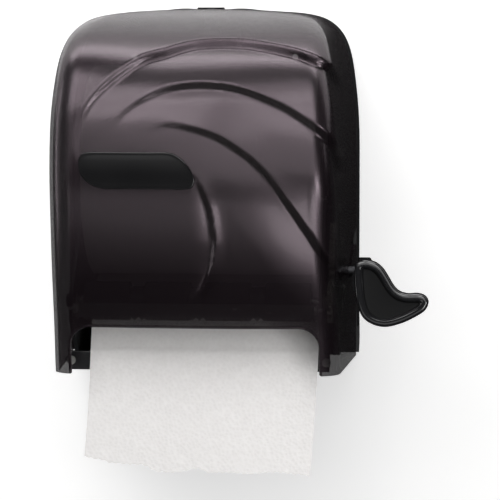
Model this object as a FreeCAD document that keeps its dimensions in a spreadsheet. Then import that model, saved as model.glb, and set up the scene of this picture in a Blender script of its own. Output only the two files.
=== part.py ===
import FreeCAD, Part
import math
import os

import Sketcher

# A wall dispenser for a roll of paper towel, worked by a lever at its right side.
# The wall is the plane y = 0, the front looks along -Y, the lever is at +X and +Z is up.
# Heights in the sheet are above the bottom edge of the case. The origin is the middle of the wall fixing.

Vector = FreeCAD.Vector

# Driving sizes in millimetres, angles in degrees
SIZES = {
    # case
    "case_height": 319.0,
    "wall_half_width": 135.0,
    "case_depth": 229.0,
    "side_slope_share": 0.0554,
    "front_bow": 6.0,
    "corner_radius": 22.0,
    "wall": 3.0,
    "rim_depth": 26.0,
    "parting_gap": 0.3,
    "overrun": 1.0,
    # wall fixing
    "mount_height": 175.0,
    "fixing_pitch_x": 150.0,
    "fixing_pitch_z": 200.0,
    "fixing_hole_radius": 2.75,
    # mouth of the cover
    "mouth_half_width": 110.0,
    "mouth_height": 44.0,
    "mouth_corner_radius": 19.0,
    "lip_rim_width": 3.0,
    "lip_rim_depth": 4.0,
    # moulded waves of the cover
    "wave_step": 2.0,
    "wave_run": 18.0,
    "wave_undercut": 1.6,
    "wave_sink": 1.2,
    # badge
    "badge_left": 95.0,
    "badge_right": 5.0,
    "badge_bottom": 166.2,
    "badge_top": 197.6,
    "badge_thickness": 3.4,
    # cover hinge
    "hinge_depth": 20.0,
    "hinge_height": 12.0,
    "hinge_pin_radius": 3.0,
    "hinge_pin_clearance": 0.08,
    "knuckle_radius": 8.5,
    "knuckle_inner_x": 119.0,
    "knuckle_side_gap": 0.5,
    "knuckle_round_gap": 5.5,
    "lug_inner_x": 112.5,
    "lug_top": 22.0,
    "lug_front": 28.0,
    # lock
    "lock_depth": 36.0,
    "lock_sleeve_radius": 9.0,
    "lock_flange_radius": 12.5,
    "lock_flange_height": 1.6,
    "lock_barrel_radius": 6.5,
    "lock_length": 20.0,
    "lock_cam_length": 19.0,
    "lock_cam_thickness": 3.0,
    "lock_nut_radius": 13.5,
    "lock_nut_height": 4.0,
    "lock_nut_drop": 3.75,
    "striker_reach": 11.0,
    "striker_side": 22.0,
    "striker_lip_inner": 10.5,
    "striker_height": 14.0,
    "striker_foot": 12.0,
    # side frames
    "frame_inner_x": 108.0,
    "frame_wall": 3.0,
    "frame_front": 178.0,
    "frame_top": 118.0,
    "frame_bottom": 3.4,
    "frame_toe": 147.8,
    "toe_boss": 4.94,
    "toe_depth": 9.6,
    "flange_width": 13.0,
    "flange_bottom": 32.0,
    # paper roll
    "paper_offset": 5.0,
    "paper_width": 203.2,
    "roll_radius": 93.0,
    "roll_depth": 114.0,
    "roll_height": 176.0,
    "core_radius": 19.6,
    "core_wall": 2.0,
    "hub_depth": 9.0,
    "hub_flange_radius": 25.0,
    "hub_taper": 3.6,
    "hub_clearance": 0.35,
    "arm_wall": 3.5,
    "arm_half_height": 17.0,
    "arm_nose_radius": 23.0,
    "arm_pivot_depth": 12.0,
    "arm_pivot_radius": 2.5,
    # lever drive
    "lever_axis_depth": 87.6,
    "lever_axis_height": 83.9,
    "gear_module": 2.0,
    "gear_fall": 18.8,
    "pinion_teeth": 16.0,
    "sector_teeth": 52.0,
    "gear_backlash": 0.22,
    "gear_inner_x": 114.6,
    "gear_width": 5.0,
    "lever_stroke": 65.0,
    "sector_margin": 15.0,
    "lever_shaft_radius": 5.0,
    "lever_hub_radius": 12.5,
    "lever_inner_x": 138.0,
    "lever_wall": 12.0,
    "lever_arm_height": 24.0,
    "slot_clearance": 2.2,
    # lever paddle
    "paddle_left": 140.0,
    "paddle_width": 64.0,
    "paddle_bottom": 46.0,
    "paddle_tall": 58.0,
    "paddle_depth": 186.0,
    "paddle_thickness": 13.0,
    "paddle_dish": 3.0,
    "paddle_rim": 5.0,
    "paddle_dish_slope": 2.5,
    "paddle_edge_radius": 3.0,
    "lever_nose_half_height": 8.6,
    # rollers
    "feed_radius": 17.0,
    "feed_core_radius": 13.0,
    "feed_shaft_radius": 4.0,
    "roller_half_length": 100.0,
    "sleeve_length": 40.0,
    "sleeve_count": 4.0,
    "pinch_radius": 10.5,
    "pinch_core_radius": 7.5,
    "pinch_shaft_radius": 2.5,
    "nip_gap": 0.5,
    "nip_angle": 19.6,
    "bush_wall": 2.0,
    "bush_flange": 3.0,
    "running_fit": 0.06,
    "carrier_pivot_depth": 90.0,
    "carrier_pivot_height": 40.0,
    "carrier_pin_radius": 3.0,
    "carrier_wall": 3.0,
    # rail and tear bar
    "rail_front": 150.5,
    "rail_height": 17.0,
    "rail_floor_back": 96.0,
    "rail_half_length": 116.0,
    "rail_wall": 2.5,
    "tear_bar_depth": 171.0,
    "tear_bar_thickness": 1.0,
    "tear_bar_top": 62.0,
    "tear_bar_bottom": 47.0,
    "tear_tooth_pitch": 6.4,
    "tear_tooth_height": 3.0,
    "tear_tab": 9.0,
    # towel
    "towel_thickness": 0.4,
    "towel_gap": 0.3,
    "towel_drop": 93.5,
    "towel_curl": 3.0,
    # gear cover
    "gear_cover_wall": 1.4,
    "gear_cover_gap": 0.4,
    "post_radius": 4.0,
    "post_clearance": 3.0,
    "upper_post_turn": 75.0,
    "rear_post_turn": 200.0,
    "lower_post_turn": -65.0,
    # fasteners and springs
    "screw_radius": 2.0,
    "screw_head_radius": 3.8,
    "screw_head_height": 2.4,
    "screw_length": 8.0,
    "screw_edge": 5.7,
    "spring_wire": 0.9,
    "spring_pitch": 1.1,
    "spring_turns": 2.0,
    "spring_clearance": 0.4,
}


class Length:
    """A length or angle that knows both its number and the sheet expression that gives it."""

    def __init__(self, value, text):
        self.value = float(value)
        self.text = text

    def _join(self, other, sign, value):
        return Length(value, f"({self.text} {sign} {as_length(other).text})")

    def __add__(self, other):
        return self._join(other, "+", self.value + as_length(other).value)

    def __sub__(self, other):
        return self._join(other, "-", self.value - as_length(other).value)

    def __mul__(self, other):
        return self._join(other, "*", self.value * as_length(other).value)

    def __truediv__(self, other):
        return self._join(other, "/", self.value / as_length(other).value)

    def __radd__(self, other):
        return as_length(other) + self

    def __rsub__(self, other):
        return as_length(other) - self

    def __rmul__(self, other):
        return as_length(other) * self

    def __neg__(self):
        return Length(-self.value, f"(0 - {self.text})")

    def __float__(self):
        return self.value


def as_length(thing):
    """A plain number becomes a length that is its own expression."""
    if isinstance(thing, Length):
        return thing
    return Length(thing, f"{float(thing)!r}")


class Sizes:
    """The driving sizes, kept in a spreadsheet of the document and read by name."""

    def __init__(self, document, table):
        self.sheet = document.addObject("Spreadsheet::Sheet", "sizes")
        for row, (name, value) in enumerate(table.items(), start=1):
            self.sheet.set(f"A{row}", name)
            self.sheet.set(f"B{row}", f"{value}")
            self.sheet.setAlias(f"B{row}", name)
            setattr(self, name, Length(value, f"sizes.{name}"))
        document.recompute()


doc = FreeCAD.newDocument("towel_dispenser")
S = Sizes(doc, SIZES)
NODES = []


def level(height):
    """Turns a height above the bottom of the case into z."""
    return height - S.mount_height


def bind(thing, name, length):
    """Ties one property of an object to the sheet."""
    thing.setExpression(name, as_length(length).text)


def keep(thing, name):
    """Names an object as a sub-part of the dispenser."""
    thing.Label = name
    NODES.append(thing)
    return thing


def place(thing, x=0.0, y=0.0, z=0.0):
    """Ties the place of an object to the sheet."""
    bind(thing, "Placement.Base.x", x)
    bind(thing, "Placement.Base.y", y)
    bind(thing, "Placement.Base.z", z)


def plane_of(body, role):
    """One of a body's own origin planes."""
    return next(item for item in body.Origin.OriginFeatures if item.Role == role)


def add_polygon(sketch, points):
    """Closes a run of straight lines through points and ties each corner to the sheet."""
    first = sketch.GeometryCount
    count = len(points)
    for index, start in enumerate(points):
        end = points[(index + 1) % count]
        line = Part.LineSegment(Vector(float(start[0]), float(start[1]), 0), Vector(float(end[0]), float(end[1]), 0))
        sketch.addGeometry(line)
    for index in range(count):
        following = first + (index + 1) % count
        sketch.addConstraint(Sketcher.Constraint("Coincident", first + index, 2, following, 1))
    for index, corner in enumerate(points):
        for kind, share in zip(("DistanceX", "DistanceY"), corner):
            distance = as_length(share)
            rule = Sketcher.Constraint(kind, -1, 1, first + index, 1, distance.value)
            number = sketch.addConstraint(rule)
            sketch.setExpression(f"Constraints[{number}]", distance.text)


def add_circle(sketch, centre, radius):
    """Draws a circle whose centre and radius are tied to the sheet."""
    middle = Vector(float(centre[0]), float(centre[1]), 0)
    index = sketch.addGeometry(Part.Circle(middle, Vector(0, 0, 1), float(radius)))
    for kind, share in zip(("DistanceX", "DistanceY"), centre):
        distance = as_length(share)
        number = sketch.addConstraint(Sketcher.Constraint(kind, -1, 1, index, 3, distance.value))
        sketch.setExpression(f"Constraints[{number}]", distance.text)
    number = sketch.addConstraint(Sketcher.Constraint("Radius", index, float(radius)))
    sketch.setExpression(f"Constraints[{number}]", as_length(radius).text)


def new_sketch(body, role):
    """A sketch on one of the body's own planes."""
    sketch = body.newObject("Sketcher::SketchObject", f"{body.Name}_sketch")
    sketch.AttachmentSupport = [(plane_of(body, role), "")]
    sketch.MapMode = "FlatFace"
    return sketch


def level_plate(name, z, thickness, outline, holes=()):
    """A flat plate square to Z: corners and holes are (x, y), and it grows upwards from z."""
    body = doc.addObject("PartDesign::Body", name)
    sketch = new_sketch(body, "XY_Plane")
    add_polygon(sketch, outline)
    for x, y, radius in holes:
        add_circle(sketch, (x, y), radius)
    pad = body.newObject("PartDesign::Pad", f"{name}_pad")
    pad.Profile = sketch
    bind(pad, "Length", thickness)
    place(body, z=z)
    return body


def turned(name, y, z, stations, bore=0.0):
    """A turned piece about a line along X at (y, z): stations are (x, radius) corners of its outline."""
    body = doc.addObject("PartDesign::Body", name)
    sketch = new_sketch(body, "XZ_Plane")
    inner = as_length(bore)
    corners = [(stations[0][0], inner)]
    corners.extend(stations)
    corners.append((stations[-1][0], inner))
    add_polygon(sketch, corners)
    turn = body.newObject("PartDesign::Revolution", f"{name}_turn")
    turn.Profile = sketch
    turn.ReferenceAxis = (sketch, ["H_Axis"])
    turn.Angle = 360
    place(body, y=y, z=z)
    return body


def group(name, pieces):
    """Several solids that share one node."""
    compound = doc.addObject("Part::Compound", name)
    compound.Links = pieces
    return compound


def cut_from(name, base, tool):
    """The base without the tool."""
    cut = doc.addObject("Part::Cut", name)
    cut.Base = base
    cut.Tool = tool
    return cut


def shaped(name, shape):
    """A sub-part whose form is worked out by functions."""
    feature = doc.addObject("Part::Feature", name)
    feature.Shape = shape
    feature.Placement = FreeCAD.Placement()
    return feature


def block(x0, x1, f0, f1, h0, h1):
    """A box between two depths from the wall and two heights above the bottom of the case."""
    corner = Vector(float(x0), -float(f1), float(level(as_length(h0))))
    return Part.makeBox(float(x1) - float(x0), float(f1) - float(f0), float(h1) - float(h0), corner)


def bar_along_x(x0, x1, depth, height, radius):
    """A round bar along X."""
    start = Vector(float(x0), -float(depth), float(level(as_length(height))))
    return Part.makeCylinder(float(radius), float(x1) - float(x0), start, Vector(1, 0, 0))


def screws(name, places, way, length=None):
    """Pan-head screws: places are points under the heads as (x, depth, height), way is where the shanks go."""
    shank = float(length if length is not None else S.screw_length)
    solids = []
    for x, depth, height in places:
        seat = Vector(float(x), -float(depth), float(level(as_length(height))))
        along = Vector(*way)
        body = Part.makeCylinder(float(S.screw_radius), shank, seat, along)
        head = Part.makeCylinder(float(S.screw_head_radius), float(S.screw_head_height), seat, -along)
        solids.append(body.fuse(head).removeSplitter())
    return shaped(name, Part.makeCompound(solids))


def screw_holes(places, way, length=None):
    """The holes that a set of screws goes into."""
    shank = float(length if length is not None else S.screw_length) + float(S.overrun)
    reach = float(S.screw_radius)
    tools = []
    for x, depth, height in places:
        seat = Vector(float(x), -float(depth), float(level(as_length(height))))
        along = Vector(*way)
        tools.append(Part.makeCylinder(reach, shank + float(S.overrun), seat - along * float(S.overrun), along))
    return Part.makeCompound(tools)


# The case: level sections that lean back to the wall as they rise
# Each row: share of the height, share of the depth, share of the width
SECTION_SHARES = (
    (0.0, 0.812, 1.0),
    (0.138, 0.86, 1.0),
    (0.298, 0.934, 1.0),
    (0.47, 0.987, 1.0),
    (0.58, 1.0, 1.0),
    (0.705, 0.987, 0.992),
    (0.8, 0.948, 0.97),
    (0.871, 0.887, 0.942),
    (0.922, 0.8, 0.897),
    (0.956, 0.69, 0.83),
    (0.978, 0.576, 0.735),
    (0.991, 0.47, 0.55),
    (0.9975, 0.39, 0.31),
    (1.0, 0.3, 0.12),
)
SMALLEST_CORNER_SHARE = 0.42

# Shares by which small details follow the size beside them
EDGE_SHARE = 1.5
WINDOW_END_SHARE = 1.3
CARRIER_ARM_SHARE = 1.6
FAN_REACH_SHARE = 1.1
SECTOR_HUB_SHARE = 2.2
SECTOR_RIM_SHARE = 0.78
SECTOR_WINDOW_SHARE = 0.294
QUARTER_TURN = 90


def case_section(z, depth, half_width, radius, bow, slope):
    """One level outline of the case: a line behind the wall, sloping sides, round corners and a bowed front."""
    front = depth - bow
    behind = float(S.overrun)
    back_half = half_width + slope * behind
    side = half_width - slope * (front - radius)
    eighth = radius * math.sqrt(0.5)

    def at(x, f):
        return Vector(x, -f, z)

    edges = [
        Part.LineSegment(at(-back_half, -behind), at(back_half, -behind)),
        Part.LineSegment(at(back_half, -behind), at(side, front - radius)),
        Part.Arc(
            at(side, front - radius),
            at(side - radius + eighth, front - radius + eighth),
            at(side - radius, front),
        ),
        Part.Arc(at(side - radius, front), at(0, depth), at(radius - side, front)),
        Part.Arc(
            at(radius - side, front),
            at(radius - side - eighth, front - radius + eighth),
            at(-side, front - radius),
        ),
        Part.LineSegment(at(-side, front - radius), at(-back_half, -behind)),
    ]
    return Part.Wire([edge.toShape() for edge in edges])


def case_form(inset, floor=0.0):
    """The outer form of the case, drawn in by an inset, from a height above its bottom."""
    inset = float(inset)
    top = float(S.case_height) - inset
    wires = []
    for height_share, depth_share, width_share in SECTION_SHARES:
        height = top * height_share if height_share else float(floor)
        depth = float(S.case_depth) * depth_share - inset
        half_width = (float(S.wall_half_width) - inset) * width_share
        room = min(half_width, depth) * SMALLEST_CORNER_SHARE
        radius = min(float(S.corner_radius) - inset / 2, room)
        z = float(level(as_length(height)))
        bow = float(S.front_bow) * width_share
        slope = float(S.side_slope_share) * width_share
        wires.append(case_section(z, depth, half_width, radius, bow, slope))
    return Part.makeLoft(wires, True, False)


FAR = S.case_depth * 2
WIDE = S.wall_half_width * 2
OUTER = case_form(0.0).common(block(-WIDE, WIDE, 0, FAR, -S.overrun, S.case_height + S.overrun))
INNER = case_form(S.wall, -S.overrun)


# Wave lines of the cover as shares of the half width and of the height, left end first
WAVE_SHARES = {
    "outer": (
        (-0.712, 0.58), (-0.736, 0.636), (-0.7, 0.708), (-0.6, 0.782), (-0.44, 0.84), (-0.25, 0.878),
        (-0.06, 0.905), (0.13, 0.9165), (0.32, 0.9165), (0.51, 0.907), (0.68, 0.89), (0.8, 0.87), (0.86, 0.852),
    ),
    "second": (
        (-0.54, 0.668), (-0.462, 0.715), (-0.334, 0.758), (-0.134, 0.795), (0.088, 0.806), (0.319, 0.793),
        (0.573, 0.752), (0.713, 0.719), (0.8, 0.69), (0.87, 0.66),
    ),
    "third": (
        (-0.33, 0.673), (-0.147, 0.699), (0.015, 0.691), (0.176, 0.667), (0.325, 0.631), (0.43, 0.596),
        (0.533, 0.547), (0.664, 0.466), (0.8, 0.372), (0.87, 0.315),
    ),
    "inner": (
        (0.03, 0.565), (0.088, 0.526), (0.139, 0.466), (0.161, 0.397), (0.16, 0.345), (0.123, 0.282),
        (0.06, 0.232), (0.01, 0.205),
    ),
}
# How far a wave stands out at each point along it, as shares of the full step
WAVE_RISE_SHARES = (0.2, 0.6, 1.0)


def skin_point(x, height):
    """The point of the outer form straight behind a point of the front view."""
    z = float(level(as_length(height)))
    ray = Part.makeLine(Vector(x, -float(FAR), z), Vector(x, 0, z))
    hit = OUTER.common(ray)
    return Vector(x, hit.BoundBox.YMin, z)


def skin_normal(x, height):
    """Which way the outer form faces there."""
    reach = float(S.wall) / 2
    across = skin_point(x + reach, height) - skin_point(x - reach, height)
    upwards = skin_point(x, height + reach) - skin_point(x, height - reach)
    normal = across.cross(upwards)
    normal.normalize()
    return normal if normal.y < 0 else -normal


def wave(shares):
    """A shingled ridge along a wave line: a long easy rise outside the line and a short steep drop inside."""
    places = []
    for x_share, height_share in shares:
        places.append((float(S.wall_half_width) * x_share, float(S.case_height) * height_share))
    wires = []
    last = len(places) - 1
    for index, (x, height) in enumerate(places):
        before = places[max(index - 1, 0)]
        after = places[min(index + 1, last)]
        run = Vector(after[0] - before[0], 0, after[1] - before[1])
        run.normalize()
        outward = Vector(-run.z, 0, run.x)
        rise = WAVE_RISE_SHARES[min(index, last - index, len(WAVE_RISE_SHARES) - 1)]
        normal = skin_normal(x, height)
        crest = skin_point(x, height) + normal * (float(S.wave_step) * rise)
        foot_reach = float(S.wave_run) * rise
        foot = skin_point(x + outward.x * foot_reach, height + outward.z * foot_reach)
        foot = foot - normal * float(S.wave_sink)
        inner_reach = float(S.wave_undercut)
        drop = skin_point(x - outward.x * inner_reach, height - outward.z * inner_reach)
        drop = drop - normal * float(S.wave_sink)
        wires.append(Part.makePolygon([foot, crest, drop, foot]))
    return Part.makeLoft(wires, True, False)


# Rear housing: a tray against the wall that carries everything
def rear_housing():
    tray = OUTER.common(block(-WIDE, WIDE, -S.overrun, S.rim_depth, -S.overrun, S.case_height + S.overrun))
    room = case_form(S.wall, S.wall)
    hollow = room.common(block(-WIDE, WIDE, S.wall, S.rim_depth + S.overrun, 0, S.case_height))
    tray = tray.cut(hollow)
    notch_top = S.hinge_height + S.knuckle_radius + S.knuckle_round_gap
    notch_x = S.knuckle_inner_x - S.knuckle_side_gap
    for side in (-1, 1):
        notch = block(notch_x, WIDE, S.wall + S.parting_gap, S.rim_depth + S.overrun, -S.overrun, notch_top)
        lug = block(S.lug_inner_x, notch_x, S.overrun, S.lug_front, 0, S.lug_top)
        pin = bar_along_x(0, WIDE, S.hinge_depth, S.hinge_height, S.hinge_pin_radius)
        if side < 0:
            notch = notch.mirror(Vector(0, 0, 0), Vector(1, 0, 0))
            lug = lug.mirror(Vector(0, 0, 0), Vector(1, 0, 0))
            pin = pin.mirror(Vector(0, 0, 0), Vector(1, 0, 0))
        tray = tray.cut(notch).fuse(lug).cut(pin)
    for x_side in (-1, 1):
        for z_side in (-1, 1):
            start = Vector(x_side * float(S.fixing_pitch_x) / 2, float(S.overrun), z_side * float(S.fixing_pitch_z) / 2)
            reach = float(S.wall + S.overrun + S.overrun)
            tray = tray.cut(Part.makeCylinder(float(S.fixing_hole_radius), reach, start, Vector(0, -1, 0)))
    return tray.removeSplitter()


# Fixings shared by holes and screws: (x, depth under the head, height)
FRAME_SCREW_X = S.frame_inner_x + S.frame_wall + S.flange_width / 2
FLANGE_FRONT = S.wall * 2
FRAME_SCREW_PLACES = [
    (side * FRAME_SCREW_X, FLANGE_FRONT, height)
    for side in (-1, 1)
    for height in (S.flange_bottom + S.flange_width, S.frame_top - S.flange_width)
]
ARM_BOTTOM = S.roll_height - S.arm_half_height
ARM_TOP = S.roll_height + S.arm_half_height
ARM_SCREW_PLACES = [
    (side * FRAME_SCREW_X, FLANGE_FRONT, height)
    for side in (-1, 1)
    for height in (ARM_BOTTOM + S.screw_edge, ARM_TOP - S.screw_edge)
]
BACKWARD = (0, 1, 0)
FORWARD = (0, -1, 0)
LEFTWARD = (-1, 0, 0)
WALL_SCREW_LENGTH = S.wall * 2 - S.overrun

STRIKER_BOTTOM = S.case_height - S.lock_length - S.striker_height
STRIKER_SCREW_PLACES = [
    (S.striker_side + S.wall + S.striker_foot / 2, FLANGE_FRONT, STRIKER_BOTTOM + S.striker_height / 2),
]

housing_shape = rear_housing()
for places in (FRAME_SCREW_PLACES, ARM_SCREW_PLACES, STRIKER_SCREW_PLACES):
    housing_shape = housing_shape.cut(screw_holes(places, BACKWARD, WALL_SCREW_LENGTH))
keep(shaped("rear_housing", housing_shape), "rear_housing")

# Hinge pins
pins = []
for side in (-1, 1):
    inner = S.lug_inner_x + S.overrun
    outer = S.wall_half_width - S.wall
    start = inner if side > 0 else -outer
    end = outer if side > 0 else -inner
    pins.append(turned(f"hinge_pin_{side + 2}", -S.hinge_depth, level(S.hinge_height),
                       [(start, S.hinge_pin_radius), (end, S.hinge_pin_radius)]))
keep(group("hinge_pins", pins), "hinge_pins")


# Cover: the moulded shell with its waves, mouth, knuckles and the slot for the lever's shaft
def sector_slot():
    """The curved way that lets the lever's shaft leave the side wall as the cover swings."""
    across = float(S.lever_axis_depth - S.hinge_depth)
    up = float(S.lever_axis_height - S.hinge_height)
    radius = math.hypot(across, up)
    half = float(S.lever_shaft_radius + S.slot_clearance)
    start = math.degrees(math.atan2(up, across))
    axis_from = Vector(float(S.frame_inner_x), -float(S.hinge_depth), float(level(S.hinge_height)))
    reach = float(WIDE - S.frame_inner_x)
    ring = Part.makeCylinder(radius + half, reach, axis_from, Vector(1, 0, 0))
    ring = ring.cut(Part.makeCylinder(radius - half, reach, axis_from, Vector(1, 0, 0)))
    depth = float(S.hinge_depth)
    far_turn = 100.0
    corner = float(WIDE)
    wedge_points = [Vector(axis_from.x, -depth, axis_from.z)]
    for angle in (start, (start + far_turn) / 2, far_turn):
        ray = math.radians(angle)
        wedge_points.append(Vector(axis_from.x, -depth - corner * math.cos(ray), axis_from.z + corner * math.sin(ray)))
    wedge_points.append(wedge_points[0])
    wedge = Part.Face(Part.makePolygon(wedge_points)).extrude(Vector(reach, 0, 0))
    front_limit = block(S.frame_inner_x, WIDE, -WIDE, S.lever_axis_depth, S.lever_axis_height, S.case_height)
    ring = ring.common(wedge).common(front_limit)
    end = bar_along_x(S.frame_inner_x, WIDE, S.lever_axis_depth, S.lever_axis_height, half)
    return ring.fuse(end)


def mouth_prism(grow):
    """The arched mouth, grown by a width, as a solid that runs through the front wall."""
    half = float(S.mouth_half_width) + grow
    top = float(level(S.mouth_height)) + grow
    bottom = float(level(-S.overrun))
    radius = float(S.mouth_corner_radius) + grow
    eighth = radius * (1 - math.sqrt(0.5))
    y = -float(S.rail_front)
    edges = [
        Part.LineSegment(Vector(-half, y, bottom), Vector(-half, y, top - radius)),
        Part.Arc(Vector(-half, y, top - radius), Vector(-half + eighth, y, top - eighth), Vector(radius - half, y, top)),
        Part.LineSegment(Vector(radius - half, y, top), Vector(half - radius, y, top)),
        Part.Arc(Vector(half - radius, y, top), Vector(half - eighth, y, top - eighth), Vector(half, y, top - radius)),
        Part.LineSegment(Vector(half, y, top - radius), Vector(half, y, bottom)),
        Part.LineSegment(Vector(half, y, bottom), Vector(-half, y, bottom)),
    ]
    outline = Part.Wire([edge.toShape() for edge in edges])
    return Part.Face(outline).extrude(Vector(0, -float(S.case_depth), 0))


def badge_outline():
    """The lozenge of the badge in the front view, as shares of its width and height from its lower left."""
    left = -float(S.badge_left)
    bottom = float(level(S.badge_bottom))
    width = float(S.badge_left + S.badge_right)
    height = float(S.badge_top - S.badge_bottom)
    y = -float(S.case_depth) / 2

    def at(x_share, z_share):
        return Vector(left + width * x_share, y, bottom + height * z_share)

    edges = [
        Part.LineSegment(at(0.22, 0.0), at(0.96, 0.0)),
        Part.Arc(at(0.96, 0.0), at(1.0, 0.3), at(0.965, 0.55)),
        Part.Arc(at(0.965, 0.55), at(0.88, 0.84), at(0.75, 1.0)),
        Part.LineSegment(at(0.75, 1.0), at(0.05, 1.0)),
        Part.Arc(at(0.05, 1.0), at(0.005, 0.8), at(0.01, 0.48)),
        Part.Arc(at(0.01, 0.48), at(0.09, 0.17), at(0.22, 0.0)),
    ]
    outline = Part.Wire([edge.toShape() for edge in edges])
    return Part.Face(outline).extrude(Vector(0, -float(S.case_depth), 0))


def cover_shape():
    back = S.rim_depth + S.parting_gap
    shell = OUTER.cut(INNER)
    for shares in WAVE_SHARES.values():
        shell = shell.fuse(wave(shares))
    band = mouth_prism(float(S.lip_rim_width)).cut(mouth_prism(-float(S.overrun)))
    rim = case_form(S.wall - S.overrun).cut(case_form(S.lip_rim_depth + S.wall)).common(band)
    shell = shell.fuse(rim)
    front_zone = block(-WIDE, WIDE, back, FAR, -S.overrun, S.case_height * 2)
    shell = shell.common(front_zone).cut(mouth_prism(0.0))
    inner_x = S.knuckle_inner_x
    for side in (-1, 1):
        eye = bar_along_x(inner_x, WIDE, S.hinge_depth, S.hinge_height, S.knuckle_radius)
        tongue = block(inner_x, WIDE, S.hinge_depth, back + S.knuckle_radius, S.hinge_height - S.knuckle_radius,
                       S.hinge_height + S.knuckle_radius)
        knuckle = eye.fuse(tongue)
        hole = bar_along_x(0, WIDE, S.hinge_depth, S.hinge_height, S.hinge_pin_radius + S.hinge_pin_clearance)
        if side < 0:
            knuckle = knuckle.mirror(Vector(0, 0, 0), Vector(1, 0, 0))
            hole = hole.mirror(Vector(0, 0, 0), Vector(1, 0, 0))
        shell = shell.fuse(knuckle.common(OUTER)).cut(hole)
    shell = shell.cut(sector_slot())
    well = Part.makeCylinder(float(S.lock_sleeve_radius), float(S.case_height),
                             Vector(0, -float(S.lock_depth), 0), Vector(0, 0, 1))
    return shell.cut(well).removeSplitter()


cover_solid = cover_shape()
keep(shaped("cover", cover_solid), "cover")

badge_skin = case_form(-S.badge_thickness).cut(OUTER)
keep(shaped("badge", badge_skin.common(badge_outline()).cut(cover_solid)), "badge")

# Lock in the top of the cover, with a cam that turns behind the striker
LOCK_TOP = S.case_height + S.lock_flange_height


def upright(name, x, depth, base, stations, bore=0.0):
    """A turned piece about an upright line: stations are (height above its base, radius) corners."""
    body = doc.addObject("PartDesign::Body", name)
    sketch = new_sketch(body, "XZ_Plane")
    inner = as_length(bore)
    corners = [(inner, stations[0][0])]
    corners.extend((radius, height) for height, radius in stations)
    corners.append((inner, stations[-1][0]))
    add_polygon(sketch, corners)
    turn = body.newObject("PartDesign::Revolution", f"{name}_turn")
    turn.Profile = sketch
    turn.ReferenceAxis = (sketch, ["V_Axis"])
    turn.Angle = 360
    place(body, x=x, y=-depth, z=level(base))
    return body


LOCK_BASE = S.case_height - S.lock_length
SLEEVE_RADIUS = S.lock_sleeve_radius - S.running_fit
keep(upright("lock_sleeve", 0, S.lock_depth, LOCK_BASE, [
    (0, SLEEVE_RADIUS),
    (S.lock_length, SLEEVE_RADIUS),
    (S.lock_length, S.lock_flange_radius),
    (S.lock_length + S.lock_flange_height, S.lock_flange_radius),
], S.lock_barrel_radius + S.running_fit), "lock_sleeve")
NUT_TOP = S.case_height - S.lock_nut_drop
keep(upright("lock_nut", 0, S.lock_depth, NUT_TOP - S.lock_nut_height, [
    (0, S.lock_nut_radius),
    (S.lock_nut_height, S.lock_nut_radius),
], S.lock_sleeve_radius), "lock_nut")
barrel = upright("lock_plug", 0, S.lock_depth, LOCK_BASE - S.running_fit, [
    (0, S.lock_barrel_radius),
    (S.lock_length + S.lock_flange_height, S.lock_barrel_radius),
])
key_way = doc.addObject("Part::Box", "key_way")
bind(key_way, "Length", S.lock_barrel_radius / 4)
bind(key_way, "Width", S.lock_barrel_radius)
bind(key_way, "Height", S.lock_length)
place(key_way, x=-(S.lock_barrel_radius / 8), y=-S.lock_depth - S.lock_barrel_radius / 2,
      z=level(S.case_height - S.lock_length / 2))
keep(cut_from("lock_barrel", barrel, key_way), "lock_barrel")
cam_half = S.lock_barrel_radius
cam_tip = S.lock_cam_length - S.lock_depth
keep(level_plate("lock_cam", level(LOCK_BASE - S.running_fit * 2 - S.lock_cam_thickness), S.lock_cam_thickness, [
    (-cam_half, -S.lock_depth - cam_half),
    (cam_half, -S.lock_depth - cam_half),
    (cam_half, cam_tip - cam_half / 2),
    (cam_half / 2, cam_tip),
    (-cam_half / 2, cam_tip),
    (-cam_half, cam_tip - cam_half / 2),
]), "lock_cam")
LIP_BACK = S.lock_depth + cam_half + S.parting_gap
striker_outer = S.striker_side + S.wall
striker = level_plate("striker_plate", level(STRIKER_BOTTOM), S.striker_height, [
    (S.striker_side, -S.wall),
    (striker_outer + S.striker_foot, -S.wall),
    (striker_outer + S.striker_foot, -FLANGE_FRONT),
    (striker_outer, -FLANGE_FRONT),
    (striker_outer, -LIP_BACK - S.wall),
    (S.striker_lip_inner, -LIP_BACK - S.wall),
    (S.striker_lip_inner, -LIP_BACK),
    (S.striker_side, -LIP_BACK),
])
striker_hole = shaped("striker_hole", screw_holes(STRIKER_SCREW_PLACES, BACKWARD, WALL_SCREW_LENGTH))
keep(cut_from("lock_striker", striker, striker_hole), "lock_striker")
keep(screws("striker_screw", STRIKER_SCREW_PLACES, BACKWARD, WALL_SCREW_LENGTH), "striker_screw")


# Axes of the drive: the feed roller lies a gear distance in front of and below the lever's axis
def turned_share(distance, angle, function):
    """A distance times the sine or cosine of an angle of the sheet."""
    number = {"cos": math.cos, "sin": math.sin}[function](math.radians(float(angle)))
    return Length(float(distance) * number, f"({distance.text} * {function}({angle.text} * 1 deg))")


GEAR_DISTANCE = S.gear_module * (S.pinion_teeth + S.sector_teeth) / 2
FEED_DEPTH = S.lever_axis_depth + turned_share(GEAR_DISTANCE, S.gear_fall, "cos")
FEED_HEIGHT = S.lever_axis_height - turned_share(GEAR_DISTANCE, S.gear_fall, "sin")
NIP_DISTANCE = S.feed_radius + S.pinch_radius + S.nip_gap
PINCH_DEPTH = FEED_DEPTH - turned_share(NIP_DISTANCE, S.nip_angle, "cos")
PINCH_HEIGHT = FEED_HEIGHT - turned_share(NIP_DISTANCE, S.nip_angle, "sin")
FRAME_OUTER = S.frame_inner_x + S.frame_wall
BUSH_RADIUS = S.feed_shaft_radius + S.bush_wall
LEVER_BUSH_RADIUS = S.lever_shaft_radius + S.bush_wall
CARRIER_PIN_HOLE = S.carrier_pin_radius + S.running_fit

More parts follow.
